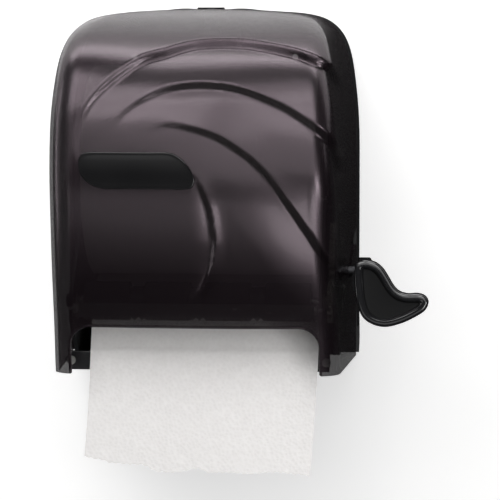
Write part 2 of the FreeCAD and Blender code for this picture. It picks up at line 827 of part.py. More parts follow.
# Side frames that carry the rollers, the rail and the tear bar
GEAR_OUTER_X = S.gear_inner_x + S.gear_width
SECTOR_TIP_RADIUS = S.gear_module * (S.sector_teeth / 2 + 1)
POST_REACH = SECTOR_TIP_RADIUS + S.post_radius + S.post_clearance
POST_PLACES = [
    (
        float(S.lever_axis_depth + turned_share(POST_REACH, turn, "cos")),
        float(S.lever_axis_height + turned_share(POST_REACH, turn, "sin")),
    )
    for turn in (S.upper_post_turn, S.rear_post_turn, S.lower_post_turn)
]
TOE_BOSS = S.toe_boss
RAIL_SCREW_X = FRAME_OUTER + TOE_BOSS / 2
RAIL_SCREW_HEIGHT = S.rail_height / 2
RAIL_SCREW_PLACES = [(side * RAIL_SCREW_X, S.rail_front, RAIL_SCREW_HEIGHT) for side in (-1, 1)]
TAB_DEPTH = S.tear_bar_depth + S.tear_bar_thickness + S.tear_tab / 2
TAB_HEIGHT = (S.tear_bar_top + S.tear_bar_bottom) / 2 + S.tear_tooth_height
TAB_SCREW_LENGTH = S.frame_wall + S.overrun * 2
COVER_SCREW_LENGTH = S.screw_length / 2 + S.overrun * 2
GEAR_COVER_X = GEAR_OUTER_X + S.gear_cover_gap
GEAR_COVER_SCREW_PLACES = [(GEAR_COVER_X + S.gear_cover_wall, depth, height) for depth, height in POST_PLACES]


def side_frame(side):
    """One upright plate with its foot against the wall tray, its bearing holes and its toe for the rail."""
    edge = float(S.screw_head_radius)
    tall = max(height for _, height in POST_PLACES) + edge * EDGE_SHARE
    post_depth = POST_PLACES[0][0]
    outline = [
        (S.wall, S.frame_bottom),
        (S.frame_toe, S.frame_bottom),
        (S.frame_toe, S.rail_height + S.overrun),
        (S.frame_front, S.tear_bar_bottom - S.overrun),
        (S.frame_front, S.tear_bar_top + S.tear_tab),
        (S.lever_axis_depth + S.gear_module * S.sector_teeth / 2, S.frame_top - S.flange_width),
        (post_depth + edge * 3, tall),
        (post_depth - edge * 3, tall),
        (S.lever_axis_depth / 2, S.frame_top),
        (S.wall, S.frame_top),
    ]
    corners = [Vector(float(S.frame_inner_x), -float(f), float(level(as_length(height)))) for f, height in outline]
    corners.append(corners[0])
    plate = Part.Face(Part.makePolygon(corners)).extrude(Vector(float(S.frame_wall), 0, 0))
    upright_edges = [edge_ for edge_ in plate.Edges if abs(edge_.Vertexes[0].X - edge_.Vertexes[-1].X) > float(S.overrun)]
    plate = plate.makeFillet(edge, [item for item in upright_edges if item.CenterOfMass.y < -float(S.rim_depth)])
    foot = block(S.frame_inner_x, FRAME_OUTER + S.flange_width, S.wall, FLANGE_FRONT, S.flange_bottom, S.frame_top)
    toe = block(FRAME_OUTER, FRAME_OUTER + TOE_BOSS, S.frame_toe - S.toe_depth, S.frame_toe,
                RAIL_SCREW_HEIGHT - TOE_BOSS, RAIL_SCREW_HEIGHT + TOE_BOSS)
    plate = plate.fuse([foot, toe])
    inner = S.frame_inner_x - S.overrun
    outer = GEAR_OUTER_X
    holes = [
        bar_along_x(inner, outer, FEED_DEPTH, FEED_HEIGHT, BUSH_RADIUS),
        bar_along_x(inner, outer, S.carrier_pivot_depth, S.carrier_pivot_height, CARRIER_PIN_HOLE),
        bar_along_x(inner, outer, TAB_DEPTH, TAB_HEIGHT, S.screw_radius),
    ]
    if side > 0:
        for depth, height in POST_PLACES:
            plate = plate.fuse(bar_along_x(FRAME_OUTER, GEAR_COVER_X, depth, height, S.post_radius))
        holes.append(bar_along_x(inner, outer, S.lever_axis_depth, S.lever_axis_height, LEVER_BUSH_RADIUS))
        holes.append(screw_holes(GEAR_COVER_SCREW_PLACES, LEFTWARD, COVER_SCREW_LENGTH))
    places = [place_ for place_ in FRAME_SCREW_PLACES if float(place_[0]) > 0]
    holes.append(screw_holes(places, BACKWARD, WALL_SCREW_LENGTH))
    holes.append(screw_holes([place_ for place_ in RAIL_SCREW_PLACES if float(place_[0]) > 0], BACKWARD))
    for hole in holes:
        plate = plate.cut(hole)
    if side < 0:
        plate = plate.mirror(Vector(0, 0, 0), Vector(1, 0, 0))
    return plate


keep(shaped("left_side_frame", side_frame(-1)), "left_side_frame")
keep(shaped("right_side_frame", side_frame(1)), "right_side_frame")
keep(screws("frame_screws", FRAME_SCREW_PLACES, BACKWARD, WALL_SCREW_LENGTH), "frame_screws")

# Bottom rail across the mouth, behind the hanging towel
rail = block(-S.rail_half_length, S.rail_half_length, S.frame_toe, S.rail_front, 0, S.rail_height)
rail_inner = S.frame_inner_x - S.parting_gap
rail = rail.fuse(block(-rail_inner, rail_inner, S.rail_floor_back, S.rail_front, 0, S.rail_wall))
long_edges = [edge for edge in rail.Edges
              if abs(edge.CenterOfMass.y + float(S.rail_front)) < float(S.running_fit)
              and abs(edge.CenterOfMass.x) < float(S.overrun)]
rail = rail.makeFillet(float(S.rail_wall) / 2, long_edges).cut(screw_holes(RAIL_SCREW_PLACES, BACKWARD))
keep(shaped("bottom_rail", rail), "bottom_rail")
keep(screws("rail_screws", RAIL_SCREW_PLACES, BACKWARD), "rail_screws")


# Tear bar: a toothed steel strip with its ends folded forward along the frames
def tear_bar():
    half = float(S.frame_inner_x - S.parting_gap)
    top = float(level(S.tear_bar_top))
    root = float(level(S.tear_bar_bottom + S.tear_tooth_height))
    tip = float(level(S.tear_bar_bottom))
    y = -float(S.tear_bar_depth)
    thickness = float(S.tear_bar_thickness)
    count = round(half * 2 / float(S.tear_tooth_pitch))
    pitch = half * 2 / count
    corners = [Vector(half, y, top), Vector(-half, y, top), Vector(-half, y, root)]
    for tooth in range(count):
        corners.append(Vector(-half + pitch * (tooth + 0.5), y, tip))
        corners.append(Vector(-half + pitch * (tooth + 1), y, root))
    corners.append(corners[0])
    strip = Part.Face(Part.makePolygon(corners)).extrude(Vector(0, -thickness, 0))
    front = S.tear_bar_depth + S.tear_bar_thickness + S.tear_tab
    for side in (-1, 1):
        ends = (half - thickness, half) if side > 0 else (-half, thickness - half)
        tab = block(ends[0], ends[1], S.tear_bar_depth, front, S.tear_bar_bottom + S.tear_tooth_height * EDGE_SHARE,
                    S.tear_bar_top)
        strip = strip.fuse(tab)
    hole = bar_along_x(-S.frame_inner_x, S.frame_inner_x, TAB_DEPTH, TAB_HEIGHT, S.screw_radius)
    return strip.cut(hole).removeSplitter()


keep(shaped("tear_bar", tear_bar()), "tear_bar")
TAB_SEAT = S.frame_inner_x - S.parting_gap - S.tear_bar_thickness
tab_screws = [screws("tab_screw", [(side * TAB_SEAT, TAB_DEPTH, TAB_HEIGHT)], (side, 0, 0), TAB_SCREW_LENGTH)
              for side in (-1, 1)]
keep(group("tear_bar_screws", tab_screws), "tear_bar_screws")


# Roll arms: the right one is fixed, the left one swings outward on a pin to let the roll in
ROLL_LEFT = S.paper_offset - S.paper_width / 2
ROLL_RIGHT = S.paper_offset + S.paper_width / 2
HUB_FLANGE = S.overrun + S.parting_gap
HUB_BASE_RADIUS = S.core_radius - S.hub_clearance


def arm_plate(x0, x1, back, nose_depth):
    """A flat arm that ends in a round nose round the roll's axis."""
    z = S.roll_height
    bar = block(x0, x1, back, nose_depth, z - S.arm_half_height, z + S.arm_half_height)
    nose = bar_along_x(x0, x1, nose_depth, z, S.arm_nose_radius)
    window = block(x0, x1, as_length(back) + S.arm_half_height, nose_depth - S.arm_nose_radius * WINDOW_END_SHARE,
                   z - S.arm_half_height / 3, z + S.arm_half_height / 3)
    return bar.fuse(nose).cut(window)


def hub(name, seat_x, flange_x, side):
    """A roll hub: a peg in the arm, a flange and a cone that the core rides on. side is the way it points."""
    tip_x = flange_x + side * S.hub_depth
    tip_radius = HUB_BASE_RADIUS - S.hub_taper
    stations = [
        (seat_x, S.arm_half_height / 3),
        (flange_x - side * S.hub_depth / 4, S.arm_half_height / 3),
        (flange_x - side * S.hub_depth / 4, S.hub_flange_radius),
        (flange_x, S.hub_flange_radius),
        (flange_x, HUB_BASE_RADIUS),
        (tip_x, tip_radius),
    ]
    if side < 0:
        stations.reverse()
    return turned(name, -S.roll_depth, level(S.roll_height), stations)


RIGHT_ARM_INNER = ROLL_RIGHT + HUB_FLANGE + S.hub_depth / 4
arm_hole = S.arm_half_height / 3
arm = arm_plate(RIGHT_ARM_INNER, RIGHT_ARM_INNER + S.arm_wall, S.wall, S.roll_depth)
arm_foot = block(RIGHT_ARM_INNER, FRAME_OUTER + S.flange_width, S.wall, FLANGE_FRONT, ARM_BOTTOM, ARM_TOP)
arm = arm.fuse(arm_foot)
arm = arm.cut(bar_along_x(S.frame_inner_x, WIDE, S.roll_depth, S.roll_height, arm_hole))
arm = arm.cut(screw_holes([item for item in ARM_SCREW_PLACES if float(item[0]) > 0], BACKWARD, WALL_SCREW_LENGTH))
keep(shaped("right_roll_arm", arm.removeSplitter()), "right_roll_arm")
keep(hub("right_roll_hub", RIGHT_ARM_INNER + S.arm_wall, ROLL_RIGHT + S.parting_gap, -1), "right_roll_hub")

arm_back = S.arm_pivot_depth
LEFT_ARM_INNER = ROLL_LEFT - S.parting_gap - S.hub_depth / 4
arm = arm_plate(LEFT_ARM_INNER - S.arm_wall, LEFT_ARM_INNER, arm_back, S.roll_depth)
pivot_x = LEFT_ARM_INNER - S.arm_wall / 2
eye_radius = S.arm_pivot_radius + S.arm_wall
pivot_start = Vector(float(pivot_x), -float(arm_back), float(level(ARM_BOTTOM)))
eye = Part.makeCylinder(float(eye_radius), float(ARM_TOP - ARM_BOTTOM), pivot_start)
arm = arm.fuse(eye)
arm = arm.cut(Part.makeCylinder(float(S.arm_pivot_radius + S.running_fit), float(ARM_TOP - ARM_BOTTOM), pivot_start))
arm = arm.cut(bar_along_x(-WIDE, -S.arm_nose_radius, S.roll_depth, S.roll_height, arm_hole))
keep(shaped("left_roll_arm", arm.removeSplitter()), "left_roll_arm")
keep(hub("left_roll_hub", LEFT_ARM_INNER - S.arm_wall, ROLL_LEFT - S.parting_gap, 1), "left_roll_hub")

# Bracket and pin of the swinging arm
bracket_gap = S.parting_gap
ear_height = S.wall
bracket = block(-(FRAME_OUTER + S.flange_width), pivot_x + eye_radius, S.wall, FLANGE_FRONT,
                ARM_BOTTOM - bracket_gap - ear_height, ARM_TOP + bracket_gap + ear_height)
relief = Part.makeCylinder(float(eye_radius + bracket_gap), float(ARM_TOP - ARM_BOTTOM + bracket_gap * 2),
                           pivot_start - Vector(0, 0, float(bracket_gap)))
for low in (ARM_BOTTOM - bracket_gap - ear_height, ARM_TOP + bracket_gap):
    base = Vector(float(pivot_x), -float(arm_back), float(level(low)))
    ear = Part.makeCylinder(float(eye_radius), float(ear_height), base)
    ear = ear.fuse(block(pivot_x - eye_radius, pivot_x + eye_radius, S.wall, arm_back, low, low + ear_height))
    bracket = bracket.fuse(ear)
bracket = bracket.cut(relief)
pin_hole = Part.makeCylinder(float(S.arm_pivot_radius), float(S.case_height), pivot_start - Vector(0, 0, float(S.wall * 4)))
bracket = bracket.cut(pin_hole)
bracket = bracket.cut(screw_holes([item for item in ARM_SCREW_PLACES if float(item[0]) < 0], BACKWARD, WALL_SCREW_LENGTH))
keep(shaped("arm_bracket", bracket.removeSplitter()), "arm_bracket")
keep(screws("arm_screws", ARM_SCREW_PLACES, BACKWARD, WALL_SCREW_LENGTH), "arm_screws")
pin_base = ARM_BOTTOM - bracket_gap - ear_height - S.overrun
pin_length = ARM_TOP - ARM_BOTTOM + (bracket_gap + ear_height + S.overrun) * 2
keep(upright("arm_pivot_pin", pivot_x, arm_back, pin_base,
             [(0, S.arm_pivot_radius), (pin_length, S.arm_pivot_radius)]), "arm_pivot_pin")

# Paper roll on its card core
keep(turned("roll_core", -S.roll_depth, level(S.roll_height), [
    (ROLL_LEFT, S.core_radius + S.core_wall),
    (ROLL_RIGHT, S.core_radius + S.core_wall),
], S.core_radius), "roll_core")
keep(turned("paper_roll", -S.roll_depth, level(S.roll_height), [
    (ROLL_LEFT, S.roll_radius),
    (ROLL_RIGHT, S.roll_radius),
], S.core_radius + S.core_wall), "paper_roll")

# Feed roller with its rubber sleeves
FEED_Y = -FEED_DEPTH
FEED_Z = level(FEED_HEIGHT)
SHAFT_END_LEFT = -(FRAME_OUTER + S.bush_flange * 2)
SHAFT_END_RIGHT = GEAR_COVER_X + S.gear_cover_wall / 2
keep(turned("feed_roller_shaft", FEED_Y, FEED_Z, [
    (SHAFT_END_LEFT, S.feed_shaft_radius),
    (SHAFT_END_RIGHT, S.feed_shaft_radius),
]), "feed_roller_shaft")
keep(turned("feed_roller_core", FEED_Y, FEED_Z, [
    (-S.roller_half_length, S.feed_core_radius),
    (S.roller_half_length, S.feed_core_radius),
], S.feed_shaft_radius), "feed_roller_core")


def sleeves(name, y, z, outer, inner):
    """Rubber sleeves spaced evenly along a roller."""
    count = round(float(S.sleeve_count))
    spacing = (S.roller_half_length * 2 - S.sleeve_length) / (count - 1)
    pieces = []
    for index in range(count):
        start = spacing * index - S.roller_half_length
        edge = S.running_fit * 10
        pieces.append(turned(f"{name}_{index + 1}", y, z, [
            (start, outer - edge),
            (start + edge, outer),
            (start + S.sleeve_length - edge, outer),
            (start + S.sleeve_length, outer - edge),
        ], inner))
    return group(name, pieces)


keep(sleeves("feed_grip_sleeves", FEED_Y, FEED_Z, S.feed_radius, S.feed_core_radius), "feed_grip_sleeves")


def flanged_bush(name, y, z, side, inner_radius, outer_radius, reach):
    """A bush pressed into a frame, with its flange on the outer face. side is -1 on the left."""
    start = S.frame_inner_x
    flange_in = FRAME_OUTER
    flange_out = FRAME_OUTER + S.overrun
    stations = [
        (start, outer_radius),
        (flange_in, outer_radius),
        (flange_in, outer_radius + S.bush_flange / 2),
        (flange_out, outer_radius + S.bush_flange / 2),
        (flange_out, outer_radius),
        (flange_in + reach, outer_radius),
    ]
    if side < 0:
        stations = [(-x, radius) for x, radius in reversed(stations)]
    return turned(name, y, z, stations, inner_radius)


FEED_BORE = S.feed_shaft_radius + S.running_fit
SHORT_REACH = S.bush_flange
feed_bushes = [flanged_bush(f"feed_bush_{side + 2}", FEED_Y, FEED_Z, side, FEED_BORE, BUSH_RADIUS, SHORT_REACH)
               for side in (-1, 1)]
keep(group("feed_bushes", feed_bushes), "feed_bushes")
LEVER_Y = -S.lever_axis_depth
LEVER_Z = level(S.lever_axis_height)
keep(flanged_bush("lever_bush", LEVER_Y, LEVER_Z, 1, S.lever_shaft_radius + S.running_fit, LEVER_BUSH_RADIUS,
                  S.gear_inner_x - FRAME_OUTER - S.parting_gap), "lever_bush")

# Pinch roller in its swinging carrier
PINCH_Y = -PINCH_DEPTH
PINCH_Z = level(PINCH_HEIGHT)
CARRIER_OUTER = S.frame_inner_x - S.wall
CARRIER_INNER = CARRIER_OUTER - S.carrier_wall
carrier = block(-CARRIER_OUTER, CARRIER_OUTER, S.carrier_pivot_depth - S.carrier_pin_radius * 2,
                S.carrier_pivot_depth + S.carrier_pin_radius, S.carrier_pivot_height - S.carrier_pin_radius,
                S.carrier_pivot_height + S.carrier_pin_radius)
lean = Vector(0, float(PINCH_Y) + float(S.carrier_pivot_depth), float(PINCH_HEIGHT - S.carrier_pivot_height))
side_way = Vector(0, -lean.z, lean.y)
side_way.normalize()
half_arm = float(S.carrier_pin_radius) * CARRIER_ARM_SHARE
for side in (-1, 1):
    x = float(CARRIER_INNER) if side > 0 else -float(CARRIER_OUTER)
    pivot = Vector(x, -float(S.carrier_pivot_depth), float(level(S.carrier_pivot_height)))
    corners = [pivot + side_way * half_arm, pivot + lean + side_way * half_arm,
               pivot + lean - side_way * half_arm, pivot - side_way * half_arm]
    corners.append(corners[0])
    web = Part.Face(Part.makePolygon(corners)).extrude(Vector(float(S.carrier_wall), 0, 0))
    ends = [Part.makeCylinder(half_arm, float(S.carrier_wall), centre, Vector(1, 0, 0)) for centre in (pivot, pivot + lean)]
    pin_end = S.frame_inner_x + S.frame_wall
    limits = (CARRIER_INNER, pin_end) if side > 0 else (-pin_end, -CARRIER_INNER)
    trunnion = bar_along_x(limits[0], limits[1], S.carrier_pivot_depth, S.carrier_pivot_height, S.carrier_pin_radius)
    carrier = carrier.fuse([web, *ends, trunnion])
carrier = carrier.cut(bar_along_x(-CARRIER_OUTER, CARRIER_OUTER, PINCH_DEPTH, PINCH_HEIGHT, S.pinch_shaft_radius))
keep(shaped("pinch_carrier", carrier.removeSplitter()), "pinch_carrier")
keep(turned("pinch_shaft", PINCH_Y, PINCH_Z, [
    (-CARRIER_OUTER, S.pinch_shaft_radius),
    (CARRIER_OUTER, S.pinch_shaft_radius),
]), "pinch_shaft")
keep(turned("pinch_roller", PINCH_Y, PINCH_Z, [
    (-S.roller_half_length, S.pinch_core_radius),
    (S.roller_half_length, S.pinch_core_radius),
], S.pinch_shaft_radius + S.running_fit), "pinch_roller")
keep(sleeves("pinch_grip_sleeves", PINCH_Y, PINCH_Z, S.pinch_radius, S.pinch_core_radius), "pinch_grip_sleeves")


# Springs of round wire
def coil_spring(x, depth, height, mean_radius, turns, side):
    """A torsion spring round a line along X, wound away from its first end."""
    pitch = float(S.spring_pitch)
    helix = Part.makeLongHelix(pitch, pitch * float(turns), float(mean_radius), 0, False)
    helix.rotate(Vector(), Vector(0, 1, 0), QUARTER_TURN * side)
    helix.translate(Vector(float(x), -float(depth), float(level(as_length(height)))))
    first = helix.Edges[0]
    start = first.valueAt(first.FirstParameter)
    ahead = first.tangentAt(first.FirstParameter)
    section = Part.Wire([Part.Circle(start, ahead, float(S.spring_wire) / 2).toShape()])
    return Part.Wire(helix.Edges).makePipeShell([section], True, True)


spring_radius = LEVER_BUSH_RADIUS + S.bush_flange + S.spring_clearance
spring_x = FRAME_OUTER + S.spring_wire / 2 + S.running_fit
return_coil = coil_spring(spring_x, S.lever_axis_depth, S.lever_axis_height, spring_radius, S.spring_turns, 1)
keep(shaped("return_spring", return_coil), "return_spring")
carrier_spring_radius = S.carrier_pin_radius + S.spring_wire / 2 + S.spring_clearance / 2
carrier_coils = []
for side in (-1, 1):
    start_x = side * (CARRIER_OUTER + S.spring_wire / 2 + S.running_fit)
    coil = coil_spring(start_x, S.carrier_pivot_depth, S.carrier_pivot_height, carrier_spring_radius,
                       S.spring_turns / 2, side)
    carrier_coils.append(coil)
keep(shaped("carrier_springs", Part.makeCompound(carrier_coils)), "carrier_springs")


# Gears: involute teeth with a little backlash
PRESSURE = math.radians(20)
TIP_SHARE = 1.0
ROOT_SHARE = 1.25


def gear_blank(teeth, first_tooth):
    """A whole gear outline about the origin, with the middle of one tooth at an angle in radians."""
    module = float(S.gear_module)
    pitch_radius = module * teeth / 2
    base_radius = pitch_radius * math.cos(PRESSURE)
    tip_radius = pitch_radius + module * TIP_SHARE
    root_radius = pitch_radius - module * ROOT_SHARE
    start_radius = max(base_radius, root_radius)
    rolled = math.tan(PRESSURE) - PRESSURE
    half_pitch = math.pi / (2 * teeth) - float(S.gear_backlash) / (2 * pitch_radius)

    def half_angle(radius):
        turn = math.acos(min(1.0, base_radius / radius))
        return half_pitch + rolled - (math.tan(turn) - turn)

    def at(radius, angle):
        return Vector(radius * math.cos(angle), radius * math.sin(angle), 0)

    edges = []
    middle_radius = (start_radius + tip_radius) / 2
    step = 2 * math.pi / teeth
    for tooth in range(round(teeth)):
        centre = first_tooth + tooth * step
        start = half_angle(start_radius)
        middle = half_angle(middle_radius)
        tip = half_angle(tip_radius)
        if root_radius < base_radius:
            edges.append(Part.LineSegment(at(root_radius, centre - start), at(start_radius, centre - start)))
        edges.append(Part.Arc(at(start_radius, centre - start), at(middle_radius, centre - middle),
                              at(tip_radius, centre - tip)))
        edges.append(Part.LineSegment(at(tip_radius, centre - tip), at(tip_radius, centre + tip)))
        edges.append(Part.Arc(at(tip_radius, centre + tip), at(middle_radius, centre + middle),
                              at(start_radius, centre + start)))
        if root_radius < base_radius:
            edges.append(Part.LineSegment(at(start_radius, centre + start), at(root_radius, centre + start)))
        edges.append(Part.LineSegment(at(root_radius, centre + start), at(root_radius, centre + step - start)))
    return Part.Face(Part.Wire([edge.toShape() for edge in edges]))


def stand_gear(shape, x, depth, height):
    """Turns a gear that was drawn flat so that its first direction looks forward and it grows towards -X from x."""
    matrix = FreeCAD.Matrix(
        0, 0, -1, float(x),
        -1, 0, 0, -float(depth),
        0, 1, 0, float(level(as_length(height))),
        0, 0, 0, 1,
    )
    return shape.transformGeometry(matrix)


fall = math.radians(float(S.gear_fall))
width = float(S.gear_width)
margin = math.radians(float(S.sector_margin))
stroke = math.radians(float(S.lever_stroke))
sector = gear_blank(float(S.sector_teeth), -fall)
sector_tip = float(SECTOR_TIP_RADIUS) + float(S.overrun)
fan_points = [Vector(0, 0, 0)]
fan_steps = 6
fan_start = -fall - margin
fan_turn = stroke + margin * 2
for index in range(fan_steps + 1):
    angle = fan_start + fan_turn * index / fan_steps
    fan_points.append(Vector(sector_tip * FAN_REACH_SHARE * math.cos(angle), sector_tip * FAN_REACH_SHARE * math.sin(angle), 0))
fan_points.append(fan_points[0])
fan = Part.Face(Part.makePolygon(fan_points)).extrude(Vector(0, 0, width))
hub_disc = Part.makeCylinder(float(S.lever_shaft_radius) * SECTOR_HUB_SHARE, width)
sector_solid = sector.extrude(Vector(0, 0, width)).common(fan).fuse(hub_disc)
sector_solid = sector_solid.cut(Part.makeCylinder(float(S.lever_shaft_radius), width))
window_outer = float(S.gear_module) * float(S.sector_teeth) / 2 * SECTOR_RIM_SHARE
window_inner = float(S.lever_shaft_radius) * 3
for index in (1, 3, 5):
    middle = fan_start + fan_turn * index / fan_steps
    centre = Vector(math.cos(middle), math.sin(middle), 0) * ((window_outer + window_inner) / 2)
    sector_solid = sector_solid.cut(Part.makeCylinder((window_outer - window_inner) * SECTOR_WINDOW_SHARE, width, centre))
keep(shaped("sector_gear", stand_gear(sector_solid, GEAR_OUTER_X, S.lever_axis_depth, S.lever_axis_height)), "sector_gear")

half_tooth = math.pi / float(S.pinion_teeth)
clutch_radius = S.feed_shaft_radius + S.bush_wall * EDGE_SHARE
pinion = gear_blank(float(S.pinion_teeth), math.pi - fall + half_tooth).extrude(Vector(0, 0, width))
pinion = pinion.cut(Part.makeCylinder(float(clutch_radius), width))
keep(shaped("drive_pinion", stand_gear(pinion, GEAR_OUTER_X, FEED_DEPTH, FEED_HEIGHT)), "drive_pinion")
keep(turned("one_way_clutch", FEED_Y, FEED_Z, [
    (S.gear_inner_x, clutch_radius),
    (GEAR_OUTER_X, clutch_radius),
], S.feed_shaft_radius + S.running_fit), "one_way_clutch")
backstop_start = FRAME_OUTER + SHORT_REACH + S.running_fit
keep(turned("shaft_collar", FEED_Y, FEED_Z, [
    (SHAFT_END_LEFT, BUSH_RADIUS),
    (-backstop_start, BUSH_RADIUS),
], S.feed_shaft_radius), "shaft_collar")


# Gear cover
def gear_cover():
    wall = float(S.gear_cover_wall)
    x = float(GEAR_COVER_X)
    pads = []
    for depth, height in POST_PLACES:
        pads.append(bar_along_x(x, x + wall, depth, height, S.post_radius + S.overrun * 2))
    corners = [Vector(x, -depth, float(level(as_length(height)))) for depth, height in POST_PLACES]
    nose = Vector(x, float(FEED_Y), float(FEED_Z))
    corners.insert(0, nose)
    corners.append(corners[0])
    plate = Part.Face(Part.makePolygon(corners)).extrude(Vector(wall, 0, 0))
    plate = plate.fuse(pads + [bar_along_x(x, x + wall, FEED_DEPTH, FEED_HEIGHT, BUSH_RADIUS + S.bush_wall)])
    plate = plate.cut(bar_along_x(x, x + wall, FEED_DEPTH, FEED_HEIGHT, FEED_BORE))
    plate = plate.cut(bar_along_x(x, x + wall, S.lever_axis_depth, S.lever_axis_height,
                                  S.lever_shaft_radius + S.running_fit))
    return plate.cut(screw_holes(GEAR_COVER_SCREW_PLACES, LEFTWARD, COVER_SCREW_LENGTH)).removeSplitter()


keep(shaped("gear_cover", gear_cover()), "gear_cover")
keep(screws("gear_cover_screws", GEAR_COVER_SCREW_PLACES, LEFTWARD, COVER_SCREW_LENGTH), "gear_cover_screws")

# Lever shaft, its clip and the lever
LEVER_OUTER_X = S.lever_inner_x + S.lever_wall
screw_seat = S.lever_wall / 3
keep(cut_from("lever_shaft", turned("shaft_bar", LEVER_Y, LEVER_Z, [
    (S.frame_inner_x - S.parting_gap, S.lever_shaft_radius),
    (LEVER_OUTER_X - screw_seat, S.lever_shaft_radius),
]), shaped("shaft_hole", screw_holes([(LEVER_OUTER_X - screw_seat, S.lever_axis_depth, S.lever_axis_height)],
                                     LEFTWARD, S.screw_length * EDGE_SHARE))), "lever_shaft")
clip_start = GEAR_COVER_X + S.gear_cover_wall + S.running_fit
keep(turned("shaft_clip", LEVER_Y, LEVER_Z, [
    (clip_start, S.lever_shaft_radius + S.bush_wall),
    (clip_start + S.overrun, S.lever_shaft_radius + S.bush_wall),
], S.lever_shaft_radius), "shaft_clip")
keep(screws("lever_screw", [(LEVER_OUTER_X - screw_seat, S.lever_axis_depth, S.lever_axis_height)],
            LEFTWARD, S.screw_length * EDGE_SHARE), "lever_screw")

# Front outline of the paddle, as shares of its width and height from its lower inner corner
PADDLE_SHARES = (
    (0.0, 0.8), (0.02, 0.95), (0.14, 1.0), (0.28, 0.965), (0.38, 0.88), (0.46, 0.75), (0.53, 0.62), (0.61, 0.535),
    (0.72, 0.5), (0.85, 0.505), (0.95, 0.47), (1.0, 0.375), (0.95, 0.25), (0.8, 0.14), (0.62, 0.05), (0.42, 0.0),
    (0.24, 0.04), (0.11, 0.15), (0.04, 0.34), (0.01, 0.57),
)


def paddle_outline(shrink, y):
    """The paddle's edge as one smooth closed line, drawn in from the edge by a width."""
    left = float(S.paddle_left)
    bottom = float(level(S.paddle_bottom))
    across = float(S.paddle_width)
    tall = float(S.paddle_tall)
    points = [Vector(left + across * x_share, y, bottom + tall * z_share) for x_share, z_share in PADDLE_SHARES]
    drawn_in = []
    for index, point in enumerate(points):
        run = points[(index + 1) % len(points)] - points[index - 1]
        run.normalize()
        drawn_in.append(point + Vector(run.z, 0, -run.x) * shrink)
    curve = Part.BSplineCurve()
    curve.interpolate(Points=drawn_in, PeriodicFlag=True)
    return Part.Wire([curve.toShape()])


def lever_shape():
    thick = float(S.paddle_thickness)
    back_y = -float(S.paddle_depth)
    front_y = back_y - thick
    edge = float(S.paddle_edge_radius)
    paddle = Part.Face(paddle_outline(0, back_y)).extrude(Vector(0, -thick, 0))
    paddle = paddle.makeFillet(edge, paddle.Edges)
    depth = float(S.paddle_dish)
    over = float(S.overrun)
    slope = float(S.paddle_dish_slope)
    rim = float(S.paddle_rim)
    mouth = paddle_outline(rim - slope * over / depth, front_y - over)
    floor = paddle_outline(rim + slope, front_y + depth)
    paddle = paddle.cut(Part.makeLoft([mouth, floor], True, True))
    half = float(S.lever_arm_height) / 2
    axis_z = float(level(S.lever_axis_height))
    hub_x = float(S.lever_inner_x)
    wall = float(S.lever_wall)
    nose_half = float(S.lever_nose_half_height)
    arm_end = back_y - float(S.paddle_dish)
    corners = [
        Vector(hub_x, float(LEVER_Y), axis_z + half),
        Vector(hub_x, arm_end, axis_z + nose_half),
        Vector(hub_x, arm_end, axis_z - nose_half),
        Vector(hub_x, float(LEVER_Y), axis_z - half),
    ]
    corners.append(corners[0])
    arm = Part.Face(Part.makePolygon(corners)).extrude(Vector(wall, 0, 0))
    arm = arm.fuse(bar_along_x(hub_x, LEVER_OUTER_X, S.lever_axis_depth, S.lever_axis_height, S.lever_hub_radius))
    arm = arm.removeSplitter()
    long_edges = [item for item in arm.Edges if item.Length > wall * EDGE_SHARE and item.CenterOfMass.y > arm_end + edge]
    arm = arm.makeFillet(edge, long_edges)
    lever = arm.fuse(paddle)
    bore = bar_along_x(hub_x, LEVER_OUTER_X - screw_seat, S.lever_axis_depth, S.lever_axis_height, S.lever_shaft_radius)
    seat = bar_along_x(LEVER_OUTER_X - screw_seat, LEVER_OUTER_X, S.lever_axis_depth, S.lever_axis_height,
                       S.screw_head_radius + S.running_fit)
    return lever.cut(bore).cut(seat).removeSplitter()


keep(shaped("lever", lever_shape()), "lever")

# Towel: the web from the roll over the pinch roller to the rail, and the sheet that hangs in front of the rail
TOWEL_LEFT = ROLL_LEFT + S.parting_gap
TOWEL_RIGHT = ROLL_RIGHT - S.parting_gap


